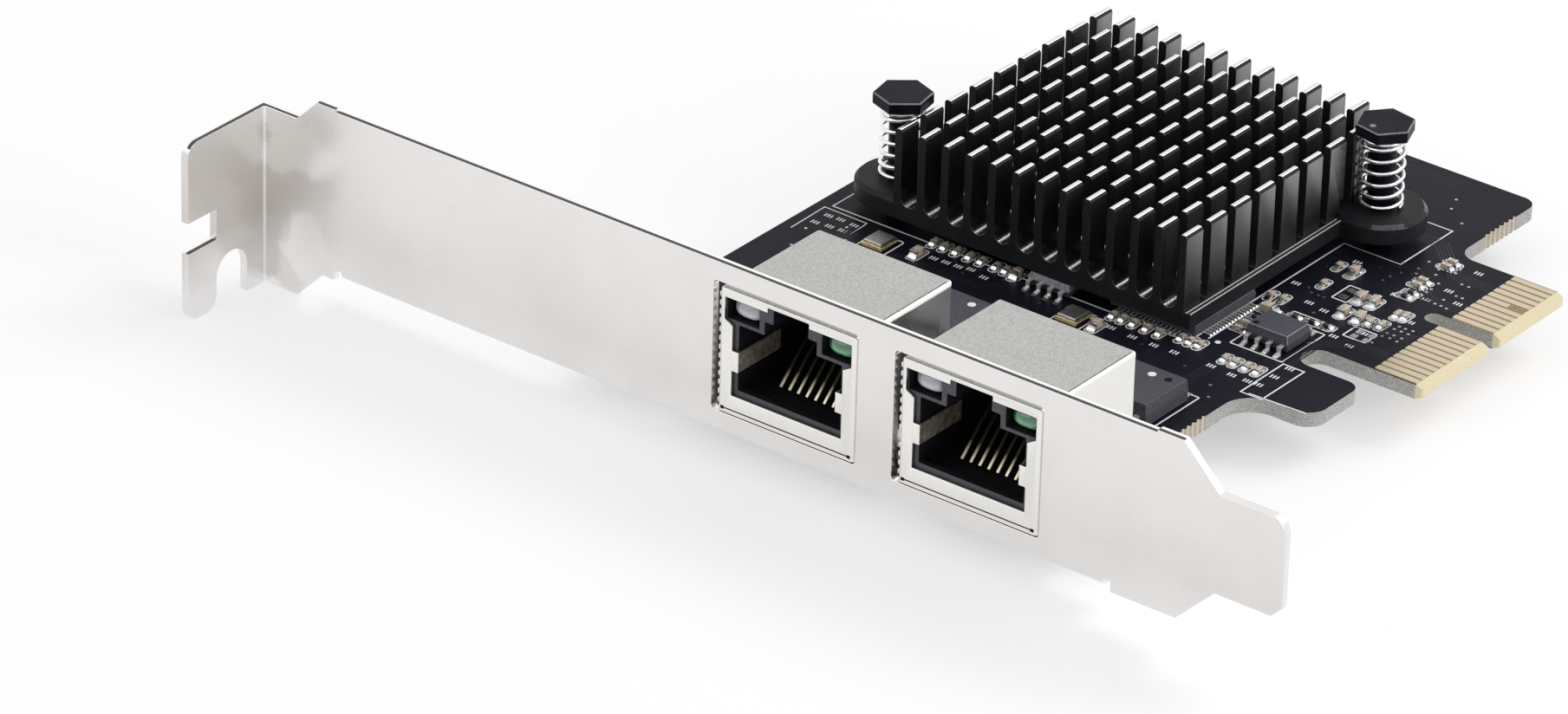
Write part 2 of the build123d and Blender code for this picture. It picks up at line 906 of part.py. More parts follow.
def make_heatsink():
    sink = sink_comb()
    cross_cuts = []
    reach = sink_width
    for row in range(fin_rows - 1):
        cross_cuts.append(
            box_between(
                (sink_centre_x - reach, fin_front(row) + fin_length, sink_ledge_high),
                (sink_centre_x + reach, fin_front(row + 1), sink_top + 1),
            )
        )
    sink = sink - cross_cuts
    sink += sink_ear(pin_left_x, pin_left_y, -1, ear_left_radius)
    sink += sink_ear(pin_right_x, pin_right_y, 1, ear_right_radius)
    holes = []
    for x, y in ((pin_left_x, pin_left_y), (pin_right_x, pin_right_y)):
        radius = pin_shaft_radius + pin_hole_clearance
        holes.append(upright_rod(x, y, radius, sink_low - 1, ear_high + 1))
        clear = spring_outer / 2 + pin_hole_clearance
        holes.append(upright_rod(x, y, clear, ear_high, sink_top + 1))
    return sink - holes


def make_push_pin(x, y, turn):
    """Moulded pin: hexagon head, shaft and a split barb that snaps under the board."""
    head_low = pin_head_top - pin_head_height
    head = extrude(RegularPolygon(pin_head_across / 2, 6, major_radius=False), pin_head_height)
    pin = Pos(x, y, head_low) * Rot(0, 0, turn) * head
    barb_top = board_low - pin_barb_gap
    pin += upright_rod(x, y, pin_shaft_radius, barb_top, head_low)
    cone = Cone(pin_barb_tip_radius, pin_barb_radius, pin_barb_drop)
    pin += Pos(x, y, barb_top - pin_barb_drop / 2) * cone
    slit = Pos(x, y, barb_top - pin_barb_drop) * Rot(0, 0, turn)
    return pin - slit * Box(pin_slit, 3 * pin_barb_radius, 2 * pin_barb_drop)


def spring_rises():
    """How far the wire climbs in each straight run: little in the closed end turns."""
    free = pin_head_top - pin_head_height - ear_high - 2 * spring_seat_gap - spring_wire
    closed = (spring_wire + spring_closed_gap) / spring_runs_per_turn
    open_runs = (spring_turns - 2 * spring_closed_turns) * spring_runs_per_turn
    closed_runs = spring_closed_turns * spring_runs_per_turn
    open_rise = (free - 2 * closed_runs * closed) / open_runs
    return [closed] * closed_runs + [open_rise] * open_runs + [closed] * closed_runs


def make_pin_spring(x, y):
    """Coil spring between the heatsink's ear and the pin's head, wound in short runs."""
    radius = (spring_outer - spring_wire) / 2
    height = ear_high + spring_seat_gap + spring_wire / 2
    points = [(x + radius, y, height)]
    for number, rise in enumerate(spring_rises()):
        angle = 2 * pi * (number + 1) / spring_runs_per_turn
        height += rise
        points.append((x + radius * cos(angle), y + radius * sin(angle), height))
    path = Polyline(*points)
    start = Plane(origin=points[0], z_dir=path.tangent_at(0), x_dir=(1, 0, 0))
    wire = RegularPolygon(spring_wire / 2, spring_wire_sides)
    return sweep(start * wire, path=path, transition=Transition.RIGHT)


def drafted_block(x, y, length, width, low, high, draft):
    """Moulded chip body that leans in towards its top and its underside."""
    waist = low + (high - low) * 0.5
    middle = Pos(x, y, waist) * Rectangle(length, width)
    upper = Pos(x, y, high) * Rectangle(length - 2 * draft, width - 2 * draft)
    lower = Pos(x, y, low) * Rectangle(length - draft, width - draft)
    return loft([lower, middle]) + loft([middle, upper])


def gull_lead(x, y, way, width, reach, rise, sheet):
    """Lead that leaves a chip's side at (x, y), drops and ends in a flat foot; along Y."""
    drop = 0.45 * reach
    path = [
        (y, board_top + rise),
        (y + way * (reach - drop), board_top + rise),
        (y + way * (reach - drop), board_top + sheet / 2),
        (y + way * reach, board_top + sheet / 2),
    ]
    if way < 0:
        path = path[::-1]
    return side_plate(strip_points(path, sheet), x - width / 2, x + width / 2)


def make_small_chip(x, y, high):
    """Eight-lead chip body."""
    low = board_top + chip_standoff
    top = board_top + high
    return drafted_block(x, y, small_chip_length, small_chip_width, low, top, chip_draft)


def make_small_leads(x, y):
    """Four leads on each long side of an eight-lead chip."""
    leads = []
    reach = small_chip_reach - small_chip_width / 2
    for way in (-1, 1):
        for number in range(4):
            lead_x = x + (number - 1.5) * small_lead_pitch
            side = y + way * small_chip_width / 2
            leads.append(
                gull_lead(
                    lead_x, side, way, small_lead_width, reach, small_lead_rise, small_lead_sheet
                )
            )
    return Compound(children=leads)


def make_bridge_chip():
    low = board_top + chip_standoff
    top = board_top + bridge_high + chip_standoff
    return drafted_block(bridge_x, bridge_y, bridge_size, bridge_size, low, top, chip_draft / 2)


def make_bridge_leads():
    """Fine leads on the four sides of the bridge chip, flat on their pads."""
    leads = []
    low = board_top
    for turn in range(4):
        place = Pos(bridge_x, bridge_y, 0) * Rot(0, 0, 90 * turn)
        for number in range(bridge_lead_count):
            along = (number - (bridge_lead_count - 1) / 2) * bridge_lead_pitch
            inner = bridge_size / 2 - chip_draft / 2
            lead = box_between(
                (inner, along - bridge_lead_width / 2, low),
                (
                    bridge_size / 2 + bridge_lead_reach,
                    along + bridge_lead_width / 2,
                    low + bridge_lead_sheet,
                ),
            )
            leads.append(place * lead)
    return Compound(children=[lead - make_bridge_chip_core() for lead in leads])


def make_bridge_chip_core():
    """Space that the bridge chip's body takes from its leads."""
    half = bridge_size / 2 - chip_draft / 4
    return box_between(
        (bridge_x - half, bridge_y - half, board_top),
        (bridge_x + half, bridge_y + half, board_top + bridge_high),
    )


def controller_places():
    return [(controller_x, controller_y_first), (controller_x, controller_y_second)]


def make_controllers():
    """Two flat leadless controller chips, one for each port."""
    chips = []
    half = controller_size / 2
    for x, y in controller_places():
        chips.append(
            box_between(
                (x - half, y - half, board_top), (x + half, y + half, board_top + controller_high)
            )
        )
    return Compound(children=chips)


def make_thermal_pads():
    """Soft pads that fill the space between each hot chip and the heatsink."""
    pads = []
    tops = [(place, controller_size, board_top + controller_high) for place in controller_places()]
    bridge_top = board_top + bridge_high + chip_standoff
    tops.append(((bridge_x, bridge_y), bridge_size, bridge_top))
    for (x, y), size, low in tops:
        half = size / 2 - thermal_pad_inset
        right = min(x + half, sink_centre_x + sink_width / 2 - thermal_pad_inset)
        pads.append(box_between((x - half, y - half, low), (right, y + half, sink_low)))
    return Compound(children=pads)


def transformer_left(index):
    return port_x(index) - transformer_shift


def make_transformer(index):
    """Black moulded body of the line transformer behind a port."""
    low = board_top + chip_standoff
    top = board_top + transformer_high
    x = transformer_left(index) + transformer_length / 2
    y = transformer_front + transformer_width / 2
    return drafted_block(x, y, transformer_length, transformer_width, low, top, chip_draft / 2)


def make_transformer_leads(index):
    """Twelve leads on each long side of a line transformer."""
    leads = []
    middle = transformer_left(index) + transformer_length / 2
    sides = [(transformer_front, -1), (transformer_front + transformer_width, 1)]
    for side, way in sides:
        for number in range(transformer_lead_count):
            x = middle + (number - (transformer_lead_count - 1) / 2) * transformer_lead_pitch
            leads.append(
                gull_lead(
                    x,
                    side,
                    way,
                    transformer_lead_width,
                    transformer_lead_reach,
                    transformer_lead_rise,
                    transformer_lead_sheet,
                )
            )
    return Compound(children=leads)


def crystal_places():
    return [(crystal_first_x, crystal_y), (crystal_second_x, crystal_y)]


def make_crystal_bases():
    """Ceramic bases of the two quartz crystals."""
    bases = []
    for x, y in crystal_places():
        low = (x - crystal_length / 2, y - crystal_width / 2, board_top)
        high = (x + crystal_length / 2, y + crystal_width / 2, board_top + crystal_body_high)
        bases.append(box_between(low, high))
    return Compound(children=bases)


def make_crystal_lids():
    """Metal lids seam-welded on the crystals."""
    lids = []
    half_x = crystal_length / 2 - crystal_lid_inset
    half_y = crystal_width / 2 - crystal_lid_inset
    low = board_top + crystal_body_high
    for x, y in crystal_places():
        lid = box_between(
            (x - half_x, y - half_y, low), (x + half_x, y + half_y, low + crystal_lid_high)
        )
        lids.append(chamfer(lid.edges().group_by(Axis.Z)[-1], crystal_lid_high / 3))
    return Compound(children=lids)


# Small chip capacitors and resistors: length, width and height
capacitor_small = (1.0, 0.55, 0.5)
capacitor_medium = (1.4, 0.85, 0.8)
capacitor_large = (1.6, 1.1, 0.85)
resistor_size = (1.0, 0.5, 0.35)

# Rows of small capacitors along Y: the row's Y and the middle of each in X
capacitor_rows = (
    (39.35, (52.0, 53.3, 54.75, 56.3, 57.75, 59.45, 60.65)),
    (38.72, (73.75, 74.9, 76.2, 77.7, 79.2)),
    (39.3, (81.3, 82.35, 83.4)),
    (38.6, (86.8, 88.0, 89.3, 90.6)),
)

# The others: middle in X and Y
small_along_x = ((92.5, 67.3), (92.5, 68.4), (92.4, 62.4), (92.4, 63.5), (84.3, 45.5), (84.4, 44.2))
small_along_y = (
    (84.5, 60.8),
    (85.4, 56.9),
    (93.2, 53.45),
    (94.4, 53.6),
    (94.35, 56.3),
    (95.2, 56.45),
    (82.85, 51.75),
    (84.2, 51.85),
)
medium_along_y = (
    (52.1, 36.4),
    (73.75, 35.8),
    (62.0, 39.2),
    (86.35, 60.6),
    (89.85, 56.7),
    (91.35, 56.75),
    (90.2, 53.3),
    (92.0, 53.3),
)
large_along_x = ((84.4, 49.1),)
resistors_along_x = ((87.1, 49.7), (88.9, 49.9), (90.4, 50.1), (84.2, 47.2), (92.7, 59.9), (92.8, 60.9))


def chip_part(x, y, size, along_x):
    """A small rectangular part on the board, lying along X or along Y."""
    length, width, height = size
    half_x = (length if along_x else width) / 2
    half_y = (width if along_x else length) / 2
    return box_between(
        (x - half_x, y - half_y, board_top), (x + half_x, y + half_y, board_top + height)
    )


def make_capacitors():
    parts = [chip_part(x, y, capacitor_small, False) for y, row in capacitor_rows for x in row]
    parts += [chip_part(x, y, capacitor_small, True) for x, y in small_along_x]
    parts += [chip_part(x, y, capacitor_small, False) for x, y in small_along_y]
    parts += [chip_part(x, y, capacitor_medium, False) for x, y in medium_along_y]
    parts += [chip_part(x, y, capacitor_large, True) for x, y in large_along_x]
    return Compound(children=parts)


def make_resistors():
    parts = [chip_part(x, y, resistor_size, True) for x, y in resistors_along_x]
    return Compound(children=parts)


def card_pieces():
    """Every node of the card, by name."""
    pieces = {
        "bracket": make_bracket(),
        "bracket_screws": make_screws(),
        "circuit_board": make_circuit_board(),
        "edge_contacts_top": make_edge_contacts(True),
        "edge_contacts_bottom": make_edge_contacts(False),
        "heatsink": make_heatsink(),
        "thermal_pads": make_thermal_pads(),
        "push_pin_left": make_push_pin(pin_left_x, pin_left_y, pin_left_turn),
        "push_pin_right": make_push_pin(pin_right_x, pin_right_y, pin_right_turn),
        "pin_spring_left": make_pin_spring(pin_left_x, pin_left_y),
        "pin_spring_right": make_pin_spring(pin_right_x, pin_right_y),
        "bridge_chip": make_bridge_chip(),
        "bridge_chip_leads": make_bridge_leads(),
        "controller_chips": make_controllers(),
        "flash_chip": make_small_chip(flash_x, flash_y, flash_high),
        "flash_chip_leads": make_small_leads(flash_x, flash_y),
        "power_chip": make_small_chip(power_x, power_y, power_high),
        "power_chip_leads": make_small_leads(power_x, power_y),
        "crystal_bases": make_crystal_bases(),
        "crystal_lids": make_crystal_lids(),
        "ceramic_capacitors": make_capacitors(),
        "chip_resistors": make_resistors(),
    }
    for index in range(port_count):
        port = index + 1
        pieces[f"jack_shell_{port}"] = make_jack_shell(index)
        pieces[f"jack_housing_{port}"] = make_jack_housing(index)
        pieces[f"jack_contacts_{port}"] = make_contact_wires(index)
        pieces[f"clear_led_{port}"] = make_led(index, -1)
        pieces[f"green_led_{port}"] = make_led(index, 1)
        pieces[f"transformer_{port}"] = make_transformer(index)
        pieces[f"transformer_leads_{port}"] = make_transformer_leads(index)
    return pieces


for name, piece in card_pieces().items():
    shifted = Pos(-origin.X, -origin.Y, -origin.Z) * piece
    export_step(shifted, f"parts/{name}.step")
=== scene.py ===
"""Network interface card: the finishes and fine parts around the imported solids."""
from math import copysign, cos, pi, radians, sin

import bmesh
import bpy
from mathutils import Matrix, Vector


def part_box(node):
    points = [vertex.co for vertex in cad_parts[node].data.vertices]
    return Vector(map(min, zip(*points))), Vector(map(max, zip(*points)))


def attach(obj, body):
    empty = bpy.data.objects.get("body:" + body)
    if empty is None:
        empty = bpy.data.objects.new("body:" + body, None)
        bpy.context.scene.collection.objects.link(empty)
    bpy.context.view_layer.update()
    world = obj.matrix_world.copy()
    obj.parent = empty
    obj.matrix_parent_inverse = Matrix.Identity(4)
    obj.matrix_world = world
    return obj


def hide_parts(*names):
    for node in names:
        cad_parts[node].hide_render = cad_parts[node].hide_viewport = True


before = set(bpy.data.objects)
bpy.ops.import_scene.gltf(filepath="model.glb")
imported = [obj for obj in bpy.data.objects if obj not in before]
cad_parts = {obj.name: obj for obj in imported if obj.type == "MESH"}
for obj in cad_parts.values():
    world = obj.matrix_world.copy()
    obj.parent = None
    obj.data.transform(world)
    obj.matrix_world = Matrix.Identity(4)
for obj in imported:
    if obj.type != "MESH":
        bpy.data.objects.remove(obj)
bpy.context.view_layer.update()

# Drawing datum
# The card is drawn from the bracket: X from the outer face of its bent tab, Y from its
# front face, Z from its lower long edge, all in millimetres, as the solids are.
datum = Vector((-60.01, -36.7, 3.17))


def from_datum(x, y, z):
    """A place on the card, in metres in the shared frame."""
    return (Vector((x, y, z)) + datum) / 1000


# Camera
# A long lens, high on the port side and to the right, at the photo's distance.
camera_data = bpy.data.cameras.new("camera")
camera_data.sensor_width = 36
camera_data.lens = 207.45
camera_data.clip_start = 0.05
camera_data.clip_end = 20
camera = bpy.data.objects.new("camera", camera_data)
bpy.context.scene.collection.objects.link(camera)
camera.matrix_world = (
    Matrix.Translation(Vector((441.977, -619.895, 414.445)) / 1000)
    @ Matrix.Rotation(radians(36.919), 4, "Z")
    @ Matrix.Rotation(radians(90 - 28.761), 4, "X")
    @ Matrix.Rotation(radians(1.661), 4, "Z")
)
bpy.context.scene.camera = camera
bpy.context.scene.view_settings.view_transform = "Standard"

# Studio
# White sweep, a broad soft lamp behind and to the right, and weaker ones in front.
# The world is white wherever it is seen, and lights the card at a plain level.


def set_values(node, **values):
    """Set a node's sockets or properties by name, with _ where the name has a space."""
    for key, value in values.items():
        socket = key.replace("_", " ")
        if socket in node.inputs:
            node.inputs[socket].default_value = value
        else:
            setattr(node, key, value)


def new_material(name, **values):
    """A material and its Principled shader, with the shader's sockets set by name."""
    material = bpy.data.materials.new(name)
    material.use_nodes = True
    shader = material.node_tree.nodes["Principled BSDF"]
    set_values(shader, **values)
    return material, material.node_tree, shader


def add_node(tree, kind, **values):
    """A node of the given kind, with its sockets or properties set by name."""
    node = tree.nodes.new(kind)
    set_values(node, **values)
    return node


def do_sum(operation, *values):
    """The result of one sum on values: first a socket, then sockets or plain numbers."""
    tree = values[0].id_data
    node = add_node(tree, "ShaderNodeMath", operation=operation)
    for number, value in enumerate(values):
        if isinstance(value, float):
            node.inputs[number].default_value = value
        else:
            tree.links.new(value, node.inputs[number])
    return node.outputs[0]


def add_mesh(name, mesh, materials, body="root"):
    """An object for a mesh, riding on the card; its faces keep their materials' numbers."""
    piece = bpy.data.objects.new(name, mesh)
    bpy.context.scene.collection.objects.link(piece)
    numbers = [face.material_index for face in mesh.polygons]
    for material in materials:
        mesh.materials.append(material)
    mesh.polygons.foreach_set("material_index", numbers)
    if body:
        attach(piece, body)
    return piece


world = bpy.data.worlds.new("studio")
bpy.context.scene.world = world
world.use_nodes = True
world_tree = world.node_tree
seen_by = add_node(world_tree, "ShaderNodeLightPath").outputs
seen_or_glossy = do_sum("MAXIMUM", seen_by["Is Camera Ray"], seen_by["Is Glossy Ray"])
seen_at_all = do_sum("MAXIMUM", seen_or_glossy, seen_by["Is Transmission Ray"])
world_level = add_node(world_tree, "ShaderNodeMapRange", To_Min=0.55, To_Max=1.0)
world_background = world_tree.nodes["Background"]
set_values(world_background, Color=(1, 1, 1, 1))
world_tree.links.new(seen_at_all, world_level.inputs["Value"])
world_tree.links.new(world_level.outputs["Result"], world_background.inputs["Strength"])

floor_mesh = bpy.data.meshes.new("floor")
floor_half = 3.0
floor_corners = [
    (x * floor_half, y * floor_half, 0) for x, y in ((-1, -1), (1, -1), (1, 1), (-1, 1))
]
floor_mesh.from_pydata(floor_corners, [], [(0, 1, 2, 3)])
floor_paint, floor_tree, floor_shader = new_material(
    "white sweep", Base_Color=(0.50, 0.50, 0.51, 1), Roughness=0.9, Specular_IOR_Level=0.0,
    Emission_Color=(1, 1, 1, 1), Emission_Strength=0.53,
)

# Seen from below, the floor is clear, so that the underside of the card can be looked at.
floor_side = add_node(floor_tree, "ShaderNodeNewGeometry")
floor_clear = add_node(floor_tree, "ShaderNodeBsdfTransparent")
floor_mix = add_node(floor_tree, "ShaderNodeMixShader")
floor_output = next(node for node in floor_tree.nodes if node.type == "OUTPUT_MATERIAL")
floor_tree.links.new(floor_side.outputs["Backfacing"], floor_mix.inputs["Fac"])
floor_tree.links.new(floor_shader.outputs["BSDF"], floor_mix.inputs[1])
floor_tree.links.new(floor_clear.outputs["BSDF"], floor_mix.inputs[2])
floor_tree.links.new(floor_mix.outputs["Shader"], floor_output.inputs["Surface"])
floor = add_mesh("floor", floor_mesh, [floor_paint], body=None)


def add_softbox(name, place, target, size, power):
    """A square soft lamp that faces its target."""
    lamp_data = bpy.data.lights.new(name, "AREA")
    lamp_data.shape = "RECTANGLE"
    lamp_data.size, lamp_data.size_y = size
    lamp_data.energy = power
    lamp = bpy.data.objects.new(name, lamp_data)
    bpy.context.scene.collection.objects.link(lamp)
    lamp.location = place
    lamp.rotation_euler = (Vector(target) - Vector(place)).to_track_quat("-Z", "Y").to_euler()


add_softbox("back lamp", (0.45, 0.75, 0.95), (0, 0, 0), (0.8, 0.5), 6)
add_softbox("side lamp", (0.9, 0.05, 0.45), (0, 0, 0.01), (0.5, 0.5), 2.5)
add_softbox("front lamp", (-0.5, -0.9, 0.7), (0, 0, 0), (0.9, 0.6), 1.5)

# Slot bracket
# One strip of steel sheet, pierced, folded at the tab and along its lower edge, and plated
# with nickel after folding. Close up the plating has an orange-peel skin.


def grain_group(name, stretch, detail, roughness):
    """A shared effect: fine grain and slow clouds over a surface, from its own coordinates."""
    group = bpy.data.node_groups.new(name, "ShaderNodeTree")
    for socket, value in (("Grain Scale", 1000.0), ("Cloud Scale", 60.0)):
        made = group.interface.new_socket(socket, in_out="INPUT", socket_type="NodeSocketFloat")
        made.default_value = value
    for socket in ("Grain", "Cloud"):
        group.interface.new_socket(socket, in_out="OUTPUT", socket_type="NodeSocketFloat")
    inside = add_node(group, "NodeGroupInput")
    outside = add_node(group, "NodeGroupOutput")
    coordinates = add_node(group, "ShaderNodeTexCoord")
    mapping = add_node(group, "ShaderNodeMapping", Scale=stretch)
    group.links.new(coordinates.outputs["Object"], mapping.inputs["Vector"])
    for socket in ("Grain", "Cloud"):
        noise = add_node(group, "ShaderNodeTexNoise", Detail=detail, Roughness=roughness)
        group.links.new(mapping.outputs["Vector"], noise.inputs["Vector"])
        group.links.new(inside.outputs[socket + " Scale"], noise.inputs["Scale"])
        group.links.new(noise.outputs["Fac"], outside.inputs[socket])
    return group


even_grain = grain_group("even grain", (1, 1, 1), 3, 0.55)


def add_grain(tree, group, grain_scale, cloud_scale):
    """The shared grain's two values, placed in one material with its own scales."""
    node = add_node(tree, "ShaderNodeGroup", node_tree=group)
    set_values(node, Grain_Scale=grain_scale, Cloud_Scale=cloud_scale)
    return node.outputs


def tone_between(value, *stops):
    """A tone that follows a value, given as (value, colour) stops in rising order."""
    ramp = add_node(value.id_data, "ShaderNodeValToRGB")
    points = ramp.color_ramp.elements
    points[0].position, points[0].color = stops[0][0], (*stops[0][1], 1)
    points[1].position, points[1].color = stops[-1][0], (*stops[-1][1], 1)
    for position, colour in stops[1:-1]:
        points.new(position).color = (*colour, 1)
    value.id_data.links.new(value, ramp.inputs["Fac"])
    return ramp.outputs["Color"]


def mix_tones(share, first, second):
    """The first tone where the share is 0, the second where it is 1."""
    tree = share.id_data
    mix = add_node(tree, "ShaderNodeMix", data_type="RGBA")
    tree.links.new(share, mix.inputs["Factor"])
    tree.links.new(first, mix.inputs["A"])
    if isinstance(second, tuple):
        mix.inputs["B"].default_value = (*second, 1)
    else:
        tree.links.new(second, mix.inputs["B"])
    return mix.outputs["Result"]


def along_axis(tree, axis, start, end):
    """A value from 0 to 1 between two places along an axis, in millimetres on the datum."""
    place = add_node(tree, "ShaderNodeTexCoord")
    axes = add_node(tree, "ShaderNodeSeparateXYZ")
    shift = datum["XYZ".index(axis)]
    run = add_node(
        tree, "ShaderNodeMapRange", From_Min=(start + shift) / 1000, From_Max=(end + shift) / 1000
    )
    tree.links.new(place.outputs["Object"], axes.inputs["Vector"])
    tree.links.new(axes.outputs[axis], run.inputs["Value"])
    return run.outputs["Result"]


def vary_colour(shader, value, low, high, start=0.35, end=0.65):
    """Base colour between two tones, by a grain or cloud value."""
    tone = tone_between(value, (start, low), (end, high))
    value.id_data.links.new(tone, shader.inputs["Base Color"])


def vary_roughness(shader, value, low, high):
    """Roughness between two levels, by a grain or cloud value."""
    tree = value.id_data
    spread = add_node(
        tree, "ShaderNodeMapRange", From_Min=0.3, From_Max=0.7, To_Min=low, To_Max=high
    )
    tree.links.new(value, spread.inputs["Value"])
    tree.links.new(spread.outputs["Result"], shader.inputs["Roughness"])


def raise_grain(shader, value, strength, distance):
    """Relief on the surface from a grain value; distance is in metres."""
    tree = value.id_data
    bump = add_node(tree, "ShaderNodeBump", Strength=strength, Distance=distance)
    tree.links.new(value, bump.inputs["Height"])
    tree.links.new(bump.outputs["Normal"], shader.inputs["Normal"])


def new_finish(name, low, high, metallic, rough, grain, relief=(0.0, 0.0), shine=0.5):
    """A finish whose tone, roughness and relief follow the even grain."""
    material, tree, shader = new_material(name, Metallic=metallic, Specular_IOR_Level=shine)
    noise = add_grain(tree, even_grain, *grain)
    vary_colour(shader, noise["Grain"], low, high)
    vary_roughness(shader, noise["Cloud"], *rough)
    if relief[0]:
        raise_grain(shader, noise["Grain"], *relief)
    return material


def node_shape(node):
    """A node's own faces, joined at the corners they share."""
    shape = bmesh.new()
    shape.from_mesh(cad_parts[node].data)
    bmesh.ops.remove_doubles(shape, verts=shape.verts, dist=1e-7)
    return shape


def edged_copy(node, broken_edge, steps=2, choose=None, split=True):
    """The node's own shape, its flat faces joined and its edges broken by a small radius.

    choose gives a material's number for a face, from the face's centre and normal. A face with
    many corners is split first, so that it shades evenly beside its broken edges."""
    shape = node_shape(node)
    flat_within, smooth_within, broken_from = radians(0.6), radians(25), radians(32)
    bmesh.ops.dissolve_limit(shape, angle_limit=flat_within, verts=shape.verts, edges=shape.edges)
    if split:
        wide = [face for face in shape.faces if len(face.verts) > 4]
        bmesh.ops.triangulate(shape, faces=wide)
    shape.normal_update()
    mesh = bpy.data.meshes.new(node)
    shape.to_mesh(mesh)
    shape.free()
    mesh.shade_smooth()
    mesh.set_sharp_from_angle(angle=smooth_within)
    if broken_edge:
        blank = bpy.data.objects.new(node + " blank", mesh)
        bpy.context.scene.collection.objects.link(blank)
        bevel = blank.modifiers.new("broken edges", "BEVEL")
        bevel.width = broken_edge
        bevel.segments = steps
        bevel.limit_method = "ANGLE"
        bevel.angle_limit = broken_from
        bevel.miter_outer = "MITER_ARC"
        bevel.loop_slide = False
        bevel.use_clamp_overlap = False
        bevel.harden_normals = True
        bpy.context.view_layer.update()
        evaluated = blank.evaluated_get(bpy.context.evaluated_depsgraph_get())
        mesh = bpy.data.meshes.new_from_object(evaluated)
        bpy.data.objects.remove(blank)
        mesh.name = node
    if choose:
        for face in mesh.polygons:
            face.material_index = choose(face.center * 1000 - datum, face.normal)
    return mesh


def dress(node, name, materials, broken_edge, steps=2, choose=None, split=True):
    """Put the edged copy of a node in its place, with its finishes."""
    piece = add_mesh(name, edged_copy(node, broken_edge, steps, choose, split), materials)
    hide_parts(node)


nickel, nickel_tree, nickel_shader = new_material("nickel plating", Metallic=1.0)
nickel_grain = add_grain(nickel_tree, even_grain, 2600, 120)
flat_tone = tone_between(
    nickel_grain["Cloud"], (0.35, (0.82, 0.805, 0.79)), (0.65, (0.88, 0.865, 0.85))
)
vary_roughness(nickel_shader, nickel_grain["Cloud"], 0.2, 0.32)
raise_grain(nickel_shader, nickel_grain["Grain"], 0.35, 0.00002)

# Near the fold, soft grey patches with grainy borders are painted reflection of the studio in the
# bent sheet. On the tab the tone falls to grey above its lower edge and rises a little towards the
# top, which is painted reflection too.
sheet_place = add_node(nickel_tree, "ShaderNodeTexCoord").outputs["Object"]
reflection_patches = add_node(nickel_tree, "ShaderNodeTexNoise", Scale=260.0, Detail=0.0)
reflection_patch_grain = add_node(nickel_tree, "ShaderNodeTexNoise", Scale=6500.0, Detail=2.0)
nickel_tree.links.new(sheet_place, reflection_patches.inputs["Vector"])
nickel_tree.links.new(sheet_place, reflection_patch_grain.inputs["Vector"])
reflection_patch_value = do_sum("MULTIPLY_ADD", reflection_patch_grain.outputs["Fac"], 0.34, reflection_patches.outputs["Fac"])
painted_reflection_tone = tone_between(reflection_patch_value, (0.61, (0.68, 0.655, 0.63)), (0.71, (0.96, 0.95, 0.94)))
tab_painted_reflection_tone = tone_between(
    along_axis(nickel_tree, "Z", -3.0, 16.0), (0.12, (0.84, 0.83, 0.82)),
    (0.42, (0.64, 0.61, 0.58)), (1.0, (0.74, 0.715, 0.69)),
)
near_fold = along_axis(nickel_tree, "X", 11.0, 1.0)
on_tab = along_axis(nickel_tree, "Y", 0.3, -0.5)
sheet_tone = mix_tones(near_fold, flat_tone, painted_reflection_tone)
sheet_tone = mix_tones(on_tab, sheet_tone, tab_painted_reflection_tone)
nickel_tree.links.new(sheet_tone, nickel_shader.inputs["Base Color"])

# A sheared edge is torn and dark over the half next to the front, and burnished over the rest.
sheared_steel, sheared_tree, sheared_shader = new_material("sheared sheet edge", Metallic=1.0)
sheared_grain = add_grain(sheared_tree, even_grain, 5200, 160)
torn_tone = tone_between(
    sheared_grain["Grain"], (0.35, (0.04, 0.04, 0.045)), (0.65, (0.12, 0.115, 0.11))
)
vary_roughness(sheared_shader, sheared_grain["Cloud"], 0.35, 0.5)
raise_grain(sheared_shader, sheared_grain["Grain"], 0.4, 0.00002)
across_face = along_axis(sheared_tree, "Y", 0.40, 0.48)
across_tab = along_axis(sheared_tree, "X", 0.46, 0.38)
burnished = do_sum("MAXIMUM", across_face, across_tab)
edge_tone = mix_tones(burnished, torn_tone, (0.93, 0.92, 0.91))
sheared_tree.links.new(edge_tone, sheared_shader.inputs["Base Color"])
bracket_top_z = 18.42


def bracket_face(centre, normal):
    """Darker on the sheared edges that look up, plated elsewhere."""
    return 1 if normal.z > 0.6 and (centre.z > bracket_top_z - 0.4 or centre.y < -0.2) else 0


dress(
    "bracket", "bracket_sheet", [nickel, sheared_steel], 0.00006,
    choose=bracket_face, split=False,
)

zinc = new_finish(
    "zinc plating", (0.66, 0.66, 0.66), (0.74, 0.74, 0.75), 1.0, (0.25, 0.4), (2500, 90)
)
dress("bracket_screws", "bracket_screw_pair", [zinc], 0.00008)

# Circuit board
# Glass-fibre laminate under black solder mask. The routed edge shows pale fibre, the bevel of
# the card edge is yellower, and the half holes in the long edge are plated.
mask, mask_tree, mask_shader = new_material("black solder mask", Specular_IOR_Level=0.07)
mask_grain = add_grain(mask_tree, even_grain, 1800, 70)
vary_colour(mask_shader, mask_grain["Cloud"], (0.006, 0.0063, 0.011), (0.010, 0.0105, 0.018))
vary_roughness(mask_shader, mask_grain["Grain"], 0.3, 0.42)
raise_grain(mask_shader, mask_grain["Grain"], 0.08, 0.00001)
cut_fibre = new_finish(
    "routed glass fibre", (0.24, 0.24, 0.235), (0.52, 0.51, 0.49), 0.0, (0.7, 0.9), (9000, 300),
    (0.5, 0.00003),
)
bevel_fibre = new_finish(
    "bevelled glass fibre", (0.66, 0.57, 0.36), (0.78, 0.70, 0.48), 0.0, (0.5, 0.7), (8000, 200),
    (0.3, 0.00002),
)
